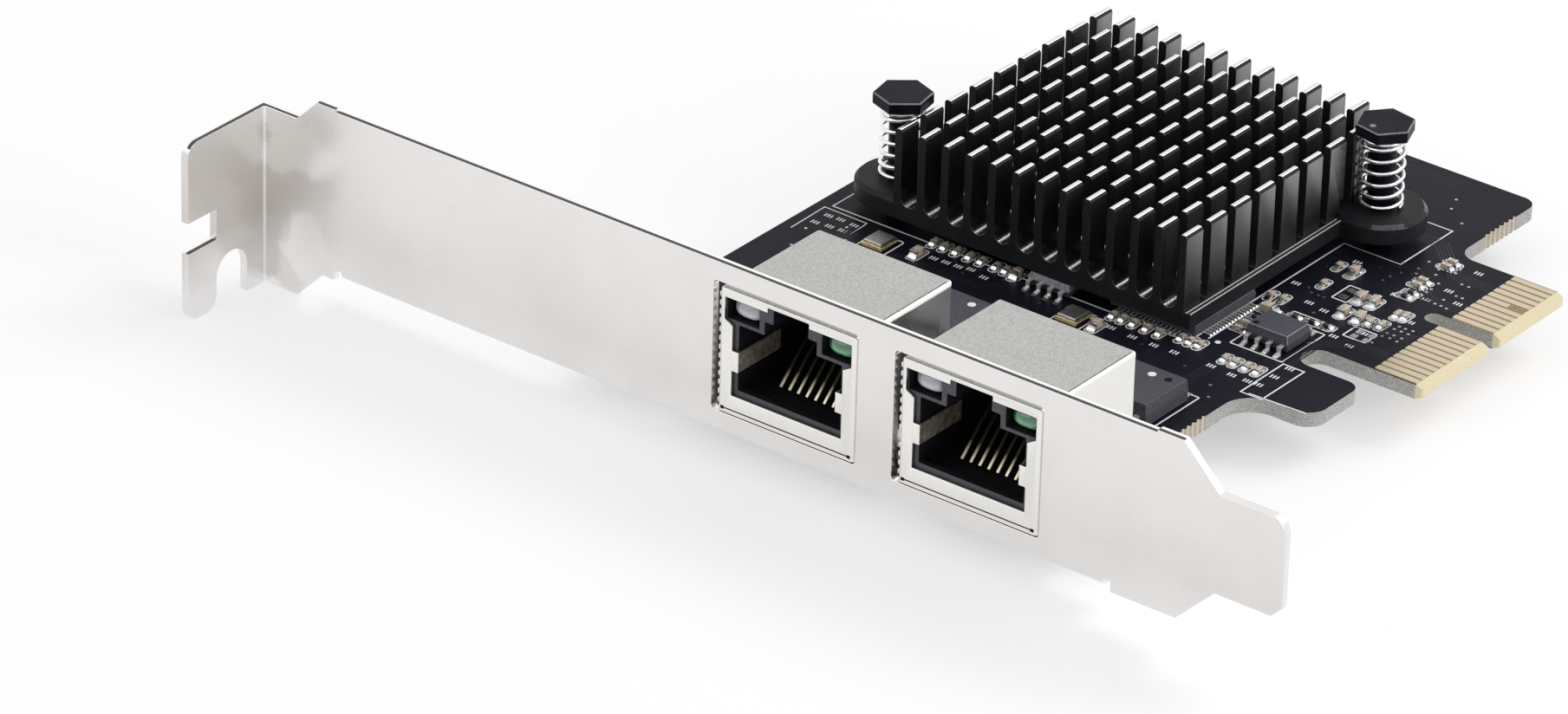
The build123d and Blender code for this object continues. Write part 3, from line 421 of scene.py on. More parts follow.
gold = new_finish(
    "hard gold plating", (0.60, 0.505, 0.37), (0.72, 0.615, 0.46), 1.0, (0.26, 0.38), (7000, 120),
    (0.15, 0.00001),
)
board_low_z = 1.08
board_top_z = 2.65
board_edge_x = 91.7
tongue_bevel_x = 104.1 - 0.8


def board_face(centre, normal):
    """Number of the finish for one face of the board."""
    tilted = abs(normal.z) < 0.99
    if centre.x > tongue_bevel_x - 0.05 and (tilted or centre.x > tongue_bevel_x + 0.1):
        return 2
    if abs(normal.z) > 0.5:
        return 0
    in_half_hole = board_edge_x - 0.3 < centre.x < board_edge_x - 0.005
    along_rows = 23.1 < centre.y < 28.6 or 75.3 < centre.y < 80.8
    return 3 if in_half_hole and along_rows else 1


dress(
    "circuit_board", "board_laminate", [mask, cut_fibre, bevel_fibre, gold],
    0.00004, 1, board_face,
)
for side in ("top", "bottom"):
    dress("edge_contacts_" + side, "gold_contacts_" + side, [gold], 0.0)
bare_laminate = new_finish(
    "bare laminate between contacts", (0.24, 0.175, 0.085), (0.36, 0.28, 0.15), 0.0, (0.5, 0.7),
    (8000, 200),
)

# Copper tracks
# Bundles of fine copper tracks run under the mask, which stands up a little over each of them.
# Small through holes join the two sides; their rims are tinned.


def offset_path(path, side, closed=False):
    """The path moved sideways by a distance, with mitred corners."""
    moved = []
    count = len(path)
    for index, (x, y) in enumerate(path):
        near = []
        if index > 0 or closed:
            near.append((path[index - 1], (x, y)))
        if index < count - 1 or closed:
            near.append(((x, y), path[(index + 1) % count]))
        normals = []
        for start, end in near:
            run = Vector((end[0] - start[0], end[1] - start[1])).normalized()
            normals.append(Vector((-run.y, run.x)))
        across = sum(normals, Vector((0, 0))).normalized()
        reach = side / max(across.dot(normals[0]), 0.3)
        moved.append((x + across.x * reach, y + across.y * reach))
    return moved


def join_rings(shape, rings, closed=False):
    """Faces from each ring of corners to the next, and a cap on both ends of an open run."""
    pairs = list(zip(rings, rings[1:]))
    if closed:
        pairs.append((rings[-1], rings[0]))
    for here, there in pairs:
        for step in range(len(here)):
            after = (step + 1) % len(here)
            shape.faces.new((here[step], here[after], there[after], there[step]))
    if not closed:
        shape.faces.new(reversed(rings[0]))
        shape.faces.new(rings[-1])


def add_ribbon(shape, path, width, low, high, closed=False):
    """A flat ribbon of a given thickness along a path; sizes in millimetres on the datum."""
    left = offset_path(path, width / 2, closed)
    right = offset_path(path, -width / 2, closed)
    rings = []
    for (left_x, left_y), (right_x, right_y) in zip(left, right):
        corners = [(left_x, left_y, low), (right_x, right_y, low)]
        corners += [(right_x, right_y, high), (left_x, left_y, high)]
        rings.append([shape.verts.new(from_datum(*corner)) for corner in corners])
    join_rings(shape, rings, closed)


def add_plate(shape, outline, low, high, material=0):
    """A flat plate with the given outline, standing on the board."""
    bottom = [shape.verts.new(from_datum(x, y, low)) for x, y in outline]
    top = [shape.verts.new(from_datum(x, y, high)) for x, y in outline]
    shape.faces.new(reversed(bottom)).material_index = material
    shape.faces.new(top).material_index = material
    for index in range(len(outline)):
        after = (index + 1) % len(outline)
        side = (bottom[index], bottom[after], top[after], top[index])
        shape.faces.new(side).material_index = material


def lay_on(shape, outline, high, material=0):
    """A film of a given thickness on the board's top."""
    add_plate(shape, outline, board_top_z, board_top_z + high, material)


def lay_under(shape, outline, high, material=0):
    """A film of a given thickness on the board's underside."""
    add_plate(shape, outline, board_low_z - high, board_low_z, material)


def circle_points(x, y, radius, sides=10):
    """Points round a circle."""
    turns = [2 * pi * step / sides for step in range(sides)]
    return [(x + radius * cos(turn), y + radius * sin(turn)) for turn in turns]


def finish_mesh(shape, name, sharp_degrees=30):
    """The mesh of a bmesh, with its normals turned outwards."""
    bmesh.ops.recalc_face_normals(shape, faces=shape.faces)
    mesh = bpy.data.meshes.new(name)
    shape.to_mesh(mesh)
    shape.free()
    mesh.shade_smooth()
    mesh.set_sharp_from_angle(angle=radians(sharp_degrees))
    return mesh


def add_detail(shape, name, materials):
    """A fine piece of the card that no solid stands for."""
    piece = add_mesh(name, finish_mesh(shape, name), materials)


track_mask = new_finish(
    "solder mask over copper", (0.010, 0.010, 0.016), (0.017, 0.017, 0.026), 0.0, (0.3, 0.4),
    (1800, 80), (0.0, 0.0), 0.2,
)
track_high = 0.02
track_bundles = [
    ([(98.2, 53.2), (93.0, 53.2), (89.4, 49.6), (83.8, 49.6)], 6, 0.32),
    ([(98.2, 49.0), (94.2, 49.0), (91.6, 46.4), (91.6, 41.8)], 5, 0.32),
    ([(98.2, 61.0), (94.5, 61.0), (90.5, 65.0), (83.0, 65.0)], 4, 0.36),
    ([(98.2, 66.5), (94.0, 66.5), (89.5, 71.0), (83.0, 71.0)], 5, 0.34),
    ([(86.5, 37.4), (86.5, 33.0), (80.0, 31.8), (56.0, 31.8)], 4, 0.34),
    ([(44.5, 37.0), (44.5, 20.5), (49.0, 16.0), (54.0, 16.0)], 4, 0.4),
    ([(40.0, 52.0), (40.0, 78.0), (44.0, 82.0), (84.0, 82.0)], 5, 0.42),
    ([(50.0, 35.0), (60.0, 35.0), (63.0, 38.0), (63.0, 38.6)], 3, 0.34),
]
under_bundles = [
    ([(98.2, 51.0), (90.0, 51.0), (82.0, 43.0), (70.0, 43.0)], 8, 0.36),
    ([(98.2, 66.0), (88.0, 66.0), (80.0, 74.0), (50.0, 74.0)], 6, 0.4),
    ([(58.0, 42.0), (58.0, 22.0), (62.0, 18.0), (62.0, 15.2)], 5, 0.5),
    ([(79.0, 42.0), (79.0, 24.0), (84.0, 19.0), (84.0, 15.2)], 5, 0.5),
    ([(42.0, 12.0), (42.0, 60.0), (48.0, 66.0), (60.0, 66.0)], 6, 0.45),
]
tracks = bmesh.new()
for bundles, width, face_z in (
    (track_bundles, 0.14, board_top_z), (under_bundles, 0.16, board_low_z)
):
    for path, count, pitch in bundles:
        for number in range(count):
            moved = offset_path(path, (number - (count - 1) / 2) * pitch)
            add_ribbon(tracks, moved, width, face_z - track_high, face_z + track_high)
add_detail(tracks, "masked_tracks", [track_mask])

tin = new_finish(
    "reflowed solder", (0.62, 0.62, 0.63), (0.80, 0.80, 0.80), 1.0, (0.18, 0.32), (2600, 260),
    (0.3, 0.00002),
)
painted_recess_shade = new_finish(
    "painted shade in holes and seams", (0.004, 0.004, 0.004), (0.01, 0.01, 0.01), 0.0, (0.6, 0.8),
    (3000, 200), shine=0.1,
)
via_places = [
    (83.5, 60.2), (87.0, 64.6), (87.5, 63.4), (89.0, 64.5), (89.7, 63.7), (89.3, 62.4),
    (89.2, 61.3), (85.4, 54.8), (86.2, 54.8), (86.9, 54.8), (84.6, 55.5), (87.9, 51.6),
    (95.7, 54.6), (95.6, 53.9), (96.4, 53.9), (95.5, 52.8), (96.3, 52.8), (95.5, 52.0),
    (97.2, 52.8), (96.3, 52.1), (97.2, 52.0), (95.5, 50.3), (90.9, 46.3), (90.9, 64.5),
    (90.5, 65.5), (90.5, 67.3), (92.5, 65.5), (92.1, 66.6), (93.7, 64.2), (93.8, 67.0),
    (93.7, 67.9), (95.5, 65.5), (96.3, 65.5), (93.8, 62.8), (93.8, 62.0), (95.9, 61.8),
    (96.4, 63.2), (97.1, 63.2), (95.7, 60.6), (96.4, 60.6), (97.1, 60.5), (96.4, 54.6),
    (97.2, 54.7), (97.2, 53.9), (41.6, 30.2), (42.4, 26.8), (46.2, 22.4), (50.4, 20.6),
    (53.0, 21.4), (72.6, 20.6), (70.8, 21.6), (88.9, 21.3), (89.8, 31.6), (88.6, 33.6),
    (70.2, 33.4), (65.3, 34.2), (57.6, 36.3), (66.8, 36.2), (79.0, 35.9), (80.3, 35.3),
    (82.2, 36.6), (84.6, 35.1), (43.5, 36.5), (40.6, 33.8), (45.0, 34.3), (40.2, 60.4),
    (41.0, 66.8), (43.2, 76.6), (52.5, 78.2), (66.0, 77.2), (74.5, 79.6), (86.0, 77.8),
    (88.5, 75.9), (85.3, 79.7),
]
via_radius = 0.15
rim_high = 0.025
hole_high = 0.03
joints = bmesh.new()
for x, y in via_places:
    for lay in (lay_on, lay_under):
        lay(joints, circle_points(x, y, via_radius), rim_high)
    # The hole in each is a small dark disc of painted shade.
    for lay in (lay_on, lay_under):
        lay(joints, circle_points(x, y, via_radius * 0.4, 6), hole_high, 1)

# Printed outlines
# The white print shows where the parts go. It carries no words, numbers or part names.
print_ink = new_finish(
    "white board print", (0.80, 0.80, 0.80), (0.92, 0.92, 0.92), 0.0, (0.5, 0.65), (5200, 500),
    (0.2, 0.00001), 0.3,
)
print_high = 0.02
print_width = 0.16
fine_width = 0.11
port_lefts = (56.15, 77.15)
shell_width = 16.0


def rounded_box(low_x, high_x, low_y, high_y, radius, steps=4):
    """Outline of a rectangle with rounded corners."""
    points = []
    x_ends, y_ends = (low_x + radius, high_x - radius), (low_y + radius, high_y - radius)
    for quarter, (right, upper) in enumerate(((1, 1), (0, 1), (0, 0), (1, 0))):
        for step in range(steps + 1):
            turn = (quarter + step / steps) * pi / 2
            points.append((x_ends[right] + radius * cos(turn), y_ends[upper] + radius * sin(turn)))
    return points


def node_boxes(node):
    """Lowest and highest corner of each separate solid in a node, on the datum."""
    shape = node_shape(node)
    left = set(shape.verts)
    boxes = []
    while left:
        start = left.pop()
        island = [start]
        for vertex in island:
            for edge in vertex.link_edges:
                other = edge.other_vert(vertex)
                if other in left:
                    left.remove(other)
                    island.append(other)
        places = [vertex.co * 1000 - datum for vertex in island]
        low = Vector([min(place[axis] for place in places) for axis in range(3)])
        high = Vector([max(place[axis] for place in places) for axis in range(3)])
        boxes.append((low, high))
    shape.free()
    return sorted(boxes, key=lambda box: (round(box[0].x, 3), round(box[0].y, 3)))


def lies_along_x(low, high):
    """Whether a small part is longer in X than in Y."""
    return high.x - low.x > high.y - low.y


outlines = [
    [
        (46.67, 48.0), (46.67, 74.0), (82.1, 74.0), (88.7, 74.0), (88.7, 65.1), (82.1, 65.1),
        (82.1, 39.15), (46.67, 39.15), (39.8, 39.15), (39.8, 48.0),
    ],
    [(91.5, 34.4), (93.9, 34.4), (93.9, 41.4), (91.5, 41.4)],
    rounded_box(85.2, 91.2, 41.6, 48.7, 0.1, 1),
    rounded_box(86.2, 91.2, 49.35, 50.65, 0.3),
    rounded_box(87.4, 89.1, 55.3, 58.4, 0.1, 1),
    rounded_box(92.5, 95.0, 49.75, 51.9, 0.1, 1),
]
for port_left in port_lefts:
    outlines.append(rounded_box(port_left - 3.6, port_left + 12.1, 21.4, 30.9, 0.1, 1))
for crystal_x in (48.0, 71.1):
    outlines.append(rounded_box(crystal_x - 1.65, crystal_x + 1.65, 34.0, 37.6, 0.3))
printed = bmesh.new()
for path in outlines:
    add_ribbon(printed, path, print_width, board_top_z, board_top_z + print_high, True)
for path in ([(83.2, 40.9), (83.2, 50.3)], [(92.3, 34.6), (98.6, 34.9)]):
    add_ribbon(printed, path, print_width, board_top_z, board_top_z + print_high)
beside = 0.2
for node, corner_radius, beyond in (
    ("ceramic_capacitors", 0.42, 0.62), ("chip_resistors", 0.1, 0.55)
):
    for low, high in node_boxes(node):
        grow_x, grow_y = (beyond, beside) if lies_along_x(low, high) else (beside, beyond)
        loop = rounded_box(
            low.x - grow_x, high.x + grow_x, low.y - grow_y, high.y + grow_y, corner_radius
        )
        add_ribbon(printed, loop, fine_width, board_top_z, board_top_z + print_high, True)
lay_on(printed, circle_points(84.3, 40.9, 0.3, 16), print_high)
lay_on(printed, [(46.0, 32.6), (47.2, 32.6), (46.6, 33.5)], print_high)
for box in (
    (43.0, 47.0, 22.0, 26.0, 0.3), (63.0, 66.6, 50.0, 52.0, 0.3), (63.0, 66.6, 53.0, 55.0, 0.3),
    (70.0, 76.0, 30.0, 36.0, 0.2),
):
    path = rounded_box(*box)
    add_ribbon(printed, path, print_width, board_low_z - print_high, board_low_z, True)
add_detail(printed, "board_print", [print_ink])

# Beside the parts stand plain tallies of three short strokes, and near the lug an open box.
tally_places = [
    (69.7, 37.3), (72.4, 37.1), (74.9, 36.7), (77.5, 36.5), (80.0, 36.5), (82.3, 36.6),
    (86.5, 36.7), (89.0, 36.5), (90.8, 36.5), (86.4, 53.0), (88.4, 52.6), (94.2, 48.4),
    (94.2, 51.3), (95.3, 63.6), (95.5, 68.4), (97.4, 62.0), (83.2, 55.4), (92.0, 36.6),
    (92.3, 38.8), (92.5, 41.0), (94.6, 60.7), (96.0, 56.0), (85.3, 62.7), (92.0, 49.0),
    (91.8, 59.6), (40.7, 37.3), (42.1, 37.4), (43.8, 37.3), (40.5, 35.4), (42.1, 35.6),
    (43.6, 35.7), (53.7, 36.9), (55.1, 37.0), (56.5, 37.1), (57.8, 37.4), (59.7, 36.9),
]
tally_high = 0.012
tallies = bmesh.new()
open_box = [(39.4, 33.0), (39.3, 38.5), (44.5, 38.4), (44.7, 35.0)]
add_ribbon(tallies, open_box, 0.13, board_top_z, board_top_z + tally_high)
for x, y in tally_places:
    for stroke in (-0.34, 0.0, 0.34):
        line = [(x + stroke, y - 0.3), (x + stroke, y + 0.3)]
        add_ribbon(tallies, line, print_width, board_top_z, board_top_z + tally_high)
add_detail(tallies, "board_print_tallies", [print_ink])

# Between the contacts the laminate is bare of mask.
bare_high = 0.006
bare_strips = bmesh.new()
for low_y, high_y in ((46.3, 57.25), (59.15, 69.95)):
    strip = [(98.6, low_y), (tongue_bevel_x, low_y), (tongue_bevel_x, high_y), (98.6, high_y)]
    lay_on(bare_strips, strip, bare_high)
    lay_under(bare_strips, strip, bare_high)
add_detail(bare_strips, "bare_contact_strips", [bare_laminate])

# Bare pads, left for parts that this card does without, in two places on top and in two below.
bare_pad_high = 0.03
for x, y in ((87.75, 56.1), (87.75, 57.6), (93.0, 50.3), (93.0, 51.3), (94.4, 50.3), (94.4, 51.3)):
    wide = 0.5 if x < 90 else 0.36
    pad = rounded_box(x - wide + 0.45, x + wide + 0.45, y - 0.38, y + 0.38, 0.08, 2)
    lay_on(joints, pad, bare_pad_high)
for y in (50.5, 51.5, 53.5, 54.5):
    pad = rounded_box(63.5, 66.1, y - 0.3, y + 0.3, 0.08, 2)
    lay_under(joints, pad, bare_pad_high)

# Ports
# Each port is a folded tin-plated shell round a moulded housing, with two lamps in its upper
# corners and eight gold wires that reach down into the mouth.
# The top of each shell takes a darker copy of the tin than its folded sides and face: painted
# shade. The mottle is the plating's own grain.
tin_top_painted_shade, tin_tree, tin_shader = new_material("mottled tin plating with painted shade", Metallic=1.0)
long_grain = grain_group("long grain", (1.0, 0.55, 1.0), 4, 0.65)
tin_grain = add_grain(tin_tree, long_grain, 7500, 150)
vary_colour(
    tin_shader, tin_grain["Grain"], (0.36, 0.355, 0.345), (0.60, 0.595, 0.58), 0.3, 0.7
)
vary_roughness(tin_shader, tin_grain["Cloud"], 0.38, 0.5)
raise_grain(tin_shader, tin_grain["Grain"], 0.6, 0.00004)
tin_bright = new_finish(
    "bright tin plating", (0.80, 0.785, 0.755), (0.86, 0.845, 0.815), 1.0, (0.16, 0.26),
    (9000, 60), (0.1, 0.00001),
)
housing_plastic = new_finish(
    "port housing plastic", (0.006, 0.006, 0.009), (0.014, 0.014, 0.018), 0.0, (0.45, 0.6),
    (5000, 200), (0.2, 0.00001), 0.15,
)
# The housing's front is a paler copy of its black plastic: painted light.
housing_front_painted_light = new_finish(
    "port housing front, painted light", (0.046, 0.046, 0.052), (0.072, 0.072, 0.079), 0.0, (0.4, 0.5),
    (6000, 200), (0.2, 0.00001), 0.4,
)
gold_wire, wire_tree, wire_shader = new_material("gold wire", Metallic=0.75)
wire_grain = add_grain(wire_tree, even_grain, 3000, 200)
vary_roughness(wire_shader, wire_grain["Grain"], 0.28, 0.4)

# Painted shade: the wires are bright at the tips that touch the plug and darken to near black
# deeper in the mouth, where the housing shades them.
wire_painted_shade_tone = tone_between(
    along_axis(wire_tree, "Y", 3.9, 5.3), (0.15, (1.0, 0.90, 0.64)), (1.0, (0.05, 0.042, 0.028))
)
wire_tree.links.new(wire_painted_shade_tone, wire_shader.inputs["Base Color"])


def new_lens(name, dark, light):
    """Moulded lamp resin with painted shade and light: darker above, lighter below."""
    material, tree, shader = new_material(
        name, Transmission_Weight=0.1, IOR=1.6, Coat_Weight=1.0, Coat_IOR=1.6
    )
    tone = tone_between(along_axis(tree, "Z", 12.5, 14.6), (0.1, light), (0.62, dark))
    tree.links.new(tone, shader.inputs["Base Color"])
    grain = add_grain(tree, even_grain, 900, 300)
    vary_roughness(shader, grain["Grain"], 0.06, 0.12)
    return material


clear_lens = new_lens("clear lamp lens", (0.40, 0.40, 0.46), (0.84, 0.84, 0.92))
green_lens = new_lens("green lamp lens", (0.012, 0.17, 0.055), (0.22, 0.62, 0.33))
shell_top_z = board_top_z + 13.05
housing_face_y = 0.45


def mould_lamp(node, name, material):
    """A lamp with a full domed nose, moulded inside the box of its solid."""
    low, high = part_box(node)
    middle = (low + high) / 2
    half = (high - low) / 2
    nose = 0.0012
    squareness = 0.72
    around = 48
    steps = 14
    stations = []
    for step in range(1, steps + 1):
        tilt = pi / 2 * step / steps
        stations.append((nose * (1 - cos(tilt)), sin(tilt)))
    stations.append((high.y - low.y, 1.0))
    lamp = bmesh.new()
    rings = []
    for depth, reach in stations:
        ring = []
        for step in range(around):
            turn = 2 * pi * step / around
            across = copysign(abs(cos(turn)) ** squareness, cos(turn)) * half.x * reach
            up = copysign(abs(sin(turn)) ** squareness, sin(turn)) * half.z * reach
            ring.append(lamp.verts.new((middle.x + across, low.y + depth, middle.z + up)))
        rings.append(ring)
    tip = lamp.verts.new((middle.x, low.y, middle.z))
    for step in range(around):
        after = (step + 1) % around
        lamp.faces.new((tip, rings[0][step], rings[0][after]))
        for ring, next_ring in zip(rings, rings[1:]):
            lamp.faces.new((ring[step], next_ring[step], next_ring[after], ring[after]))
    lamp.faces.new(rings[-1])
    piece = add_mesh(name, finish_mesh(lamp, name, 50), [material])
    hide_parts(node)


finger_low_z = board_top_z + 4.6
finger_high_z = board_top_z + 6.7
finger_back_y = 6.7
bronze = new_finish(
    "worn spring bronze", (0.30, 0.26, 0.20), (0.62, 0.56, 0.46), 0.7, (0.3, 0.45), (1500, 200),
    (0.2, 0.00002),
)


def shell_face(centre, normal):
    """A darker copy of the tin on top, painted shade mottled by the plating's grain; worn bronze
    on the spring fingers; bright tin on the folded sides and the face.
    """
    if normal.z > 0.9 and centre.z > shell_top_z - 0.1:
        return 0
    in_height = finger_low_z - 0.02 < centre.z < finger_high_z + 0.02
    for left in port_lefts:
        inside = left + 0.9 < centre.x < left + shell_width - 0.9
        if inside and in_height and 0.05 < centre.y < finger_back_y:
            return 2
    return 1


def housing_face(centre, normal):
    """Painted light: a paler, lit copy of the black plastic on the housing's front; black inside
    the mouth.
    """
    return 1 if normal.y < -0.9 and centre.y < housing_face_y + 0.3 else 0


for port in ("1", "2"):
    dress(
        "jack_shell_" + port, "port_shell_" + port, [tin_top_painted_shade, tin_bright, bronze],
        0.00006, 2, shell_face,
    )
    dress(
        "jack_housing_" + port, "port_housing_" + port,
        [housing_plastic, housing_front_painted_light], 0.0001, 2, housing_face,
    )
    dress("jack_contacts_" + port, "port_wires_" + port, [gold_wire], 0.00008)
    mould_lamp("clear_led_" + port, "clear_lamp_" + port, clear_lens)
    mould_lamp("green_led_" + port, "green_lamp_" + port, green_lens)


def add_block(shape, low, high, edge, material=0):
    """A block with broken edges."""
    made = bmesh.ops.create_cube(shape, size=1)["verts"]
    middle = (low + high) / 2
    for vertex in made:
        place = Vector(
            [vertex.co[axis] * (high[axis] - low[axis]) + middle[axis] for axis in range(3)]
        )
        vertex.co = from_datum(*place)
    edges = {join for vertex in made for join in vertex.link_edges}
    faces = {face for vertex in made for face in vertex.link_faces}
    for face in faces:
        face.material_index = material
    bmesh.ops.bevel(
        shape, geom=list(edges), offset=edge / 1000, segments=2, affect="EDGES", profile=0.5,
        material=material, clamp_overlap=True,
    )


# The face is folded down over the shell's floor: its seam and the notch at either end are dark
# blocks of painted shade. The lid's seam, a dark line of painted shade too, runs near the right
# edge, and a strip of grounding springs fills the left gap.
seams = bmesh.new()
springs = bmesh.new()
seam_z = board_top_z + 0.42
seam_high = 0.13
spring_count = 13
spring_pitch = 0.93
for left in port_lefts:
    right = left + shell_width
    low = Vector((left + 0.7, -0.012, seam_z))
    add_block(seams, low, Vector((right - 0.7, 0.02, seam_z + seam_high)), 0.005)
    for x in (left + 0.62, right - 0.62):
        low = Vector((x - 0.2, -0.015, seam_z - 0.12))
        add_block(seams, low, low + Vector((0.4, 0.03, 0.34)), 0.01)
    lid = [(right - 0.45, 0.7), (right - 0.45, 14.2)]
    add_ribbon(seams, lid, 0.07, shell_top_z - 0.01, shell_top_z + 0.004)
    for number in range(spring_count):
        low = Vector((left - 0.34, 0.5, board_top_z + 0.5 + number * spring_pitch))
        add_block(springs, low, low + Vector((0.34, 0.5, 0.5)), 0.08)
    rail = Vector((left - 0.2, 0.9, board_top_z + 0.3))
    add_block(springs, rail, rail + Vector((0.2, 1.2, 12.2)), 0.05)
add_detail(seams, "port_shell_seams", [painted_recess_shade])
add_detail(springs, "port_grounding_springs", [tin_bright])

# Gold-plated rings under the heads of the two bracket screws.
ring_radius = 2.55
ring_high = 0.012
rings = bmesh.new()
for low, high in node_boxes("bracket_screws"):
    ring = circle_points((low.x + high.x) / 2, (low.y + high.y) / 2, ring_radius, 40)
    lay_on(rings, ring, ring_high)
    lay_under(rings, ring, ring_high)
add_detail(rings, "screw_rings", [gold])

# Line transformers
# Moulded black epoxy over the windings, with tin-plated gull-wing leads on both long sides.
moulding = new_finish(
    "moulded epoxy", (0.045, 0.045, 0.056), (0.075, 0.075, 0.09), 0.0, (0.4, 0.55), (4500, 200),
    (0.35, 0.00002), 0.3,
)
# A paler copy of the moulding for broken edges: painted highlight.
moulding_edge_highlight = new_finish(
    "painted highlight on moulded edges", (0.16, 0.16, 0.18), (0.30, 0.30, 0.33), 0.0, (0.3, 0.45), (3800, 300),
    shine=0.5,
)
tinned_lead = new_finish(
    "tinned lead", (0.62, 0.61, 0.59), (0.80, 0.79, 0.77), 0.6, (0.2, 0.32), (3000, 300)
)
pad_high = 0.012


def is_flat(normal):
    """Whether a face lies square to one of the card's directions."""
    return max(abs(normal.x), abs(normal.y), abs(normal.z)) > 0.985


def add_pad(shape, start, tip, across):
    """A flat pad on the board between two places, reaching the step across to either side."""
    corners = [start - across, tip - across, tip + across, start + across]
    lay_on(shape, [(corner.x, corner.y) for corner in corners], pad_high)


def add_wedge(shape, foot, toe, across, rise):
    """A hollow-sided wedge of solder from a part's end (foot) out to its pad's end (toe)."""
    steps = 5
    hollow = 2.2
    rings = []
    for step in range(steps + 1):
        part = step / steps
        place = foot + (toe - foot) * part
        height = board_top_z + pad_high + (rise - pad_high) * (1 - part) ** hollow
        shoulder = height - 0.2 * (height - board_top_z)
        near = place - across * (0.92 + 0.08 * part)
        far = place + across * (0.92 + 0.08 * part)
        corners = [
            (near.x, near.y, board_top_z), (far.x, far.y, board_top_z), (far.x, far.y, shoulder),
            (place.x, place.y, height), (near.x, near.y, shoulder),
        ]
        rings.append([shape.verts.new(from_datum(*corner)) for corner in corners])
    join_rings(shape, rings)


def step_along(axis, distance):
    """A step of a given distance along X (0) or Y (1)."""
    return Vector((distance, 0, 0)) if axis == 0 else Vector((0, distance, 0))


def solder_leads(shape, node, centre, rise, toe):
    """Pads and solder under and in front of every lead's foot."""
    for low, high in node_boxes(node):
        end = (low + high) / 2
        axis = 0 if lies_along_x(low, high) else 1
        way = 1 if end[axis] > centre[axis] else -1
        end[axis] = high[axis] if way > 0 else low[axis]
        out = step_along(axis, way)
        half = (high[1 - axis] - low[1 - axis]) * 1.25 / 2
        add_pad(shape, end - out * toe * 1.2, end + out * (toe + 0.06), step_along(1 - axis, half))
        across = step_along(1 - axis, half * 0.96)
        add_wedge(shape, end - out * 0.01, end + out * toe, across, rise)


def chip_face(centre, normal):
    """Black moulding, with a painted highlight along its broken edges."""
    return 0 if is_flat(normal) or abs(normal.z) < 0.3 else 1


for port, middle_x in (("1", 60.4), ("2", 81.4)):
    dress(
        "transformer_" + port, "transformer_body_" + port,
        [moulding, moulding_edge_highlight], 0.00008,
    )
    dress(
        "transformer_leads_" + port, "transformer_lead_rows_" + port, [tinned_lead],
        0.00004,
    )
    solder_leads(joints, "transformer_leads_" + port, (middle_x, 26.15), 0.16, 0.38)

# A printed dot marks the first lead, and the moulding has two shallow ejector marks, drawn as dark
# discs of painted shade.
transformer_top_z = board_top_z + 2.45
dot_high = 0.012
sink_high = 0.008
marks = bmesh.new()
for middle_x in (60.4, 81.4):
    dot = circle_points(middle_x + 4.3, 28.1, 0.42, 20)
    add_plate(marks, dot, transformer_top_z, transformer_top_z + dot_high)
    for hole_x, hole_y in ((middle_x + 6.1, 28.2), (middle_x - 6.1, 24.2)):
        sink = circle_points(hole_x, hole_y, 0.4, 20)
        add_plate(marks, sink, transformer_top_z, transformer_top_z + sink_high, 1)

# Heatsink
# Extruded aluminium, cross cut into fins and anodised black. The long sides of the fins keep the
# sheen of the extrusion and carry painted light that grows from the ledge up to the tips, the sawn
# sides are dull, and the fin tips are cut bright.
sawn_black = new_finish(
    "dull black anodising", (0.006, 0.006, 0.008), (0.014, 0.014, 0.017), 0.0, (0.45, 0.6),
    (4200, 160), (0.25, 0.00002), 0.2,
)
drawn_black, drawn_tree, drawn_shader = new_material("satin black anodising with painted light", Metallic=1.0)
drawn_grain = add_grain(drawn_tree, even_grain, 6000, 160)
# Painted light: the satin fin sides grow lighter from the ledge up to the tips.
drawn_painted_light_tone = tone_between(
    along_axis(drawn_tree, "Z", 6.5, 13.8), (0.0, (0.045, 0.045, 0.048)),
    (1.0, (0.27, 0.27, 0.275)),
)
drawn_tree.links.new(drawn_painted_light_tone, drawn_shader.inputs["Base Color"])
vary_roughness(drawn_shader, drawn_grain["Cloud"], 0.28, 0.38)
raise_grain(drawn_shader, drawn_grain["Grain"], 0.1, 0.00001)
bright_cut = new_finish(
    "bright cut aluminium", (0.72, 0.72, 0.715), (0.82, 0.82, 0.815), 1.0, (0.2, 0.3), (9000, 200)
)
rim_black = new_finish(
    "black anodising on a rounded edge", (0.05, 0.05, 0.055), (0.10, 0.10, 0.105), 1.0,
    (0.25, 0.35), (6000, 200),
)
# The slot floors take a much lighter copy of the anodising: painted highlight.
slot_floor_highlight = new_finish(
    "painted highlight on slot floors", (0.22, 0.22, 0.225), (0.42, 0.42, 0.425), 1.0, (0.18, 0.28),
    (5200, 200), (0.2, 0.00001),
)
fin_top_z = 13.85
ledge_z = 5.7
sink_right_x = 82.36
pin_places = ((44.75, 43.3), (83.75, 68.5))
ear_radius = 4.8


def heatsink_face(centre, normal):
    """Number of the finish for one face of the heatsink."""
    clear_of_ears = all(
        (centre.x - x) ** 2 + (centre.y - y) ** 2 > ear_radius**2 for x, y in pin_places
    )
    in_slot = ledge_z - 0.1 < centre.z < ledge_z + 0.3 and centre.x < sink_right_x - 1.2
    if normal.z > 0.6 and in_slot and clear_of_ears:
        return 4
    if is_flat(normal):
        if centre.z > fin_top_z - 0.3 and normal.z > 0.9:
            return 2
        return 1 if normal.x > 0.9 and centre.z > ledge_z - 0.1 else 0
    if centre.z > fin_top_z - 0.1 and normal.z > 0.8:
        return 2
    if normal.x > 0.3 and abs(normal.y) > 0.3 and centre.z > ledge_z:
        return 3
    return 0


dress(
    "heatsink", "finned_heatsink",
    [sawn_black, drawn_black, bright_cut, rim_black, slot_floor_highlight], 0.00005, 2, heatsink_face,
)
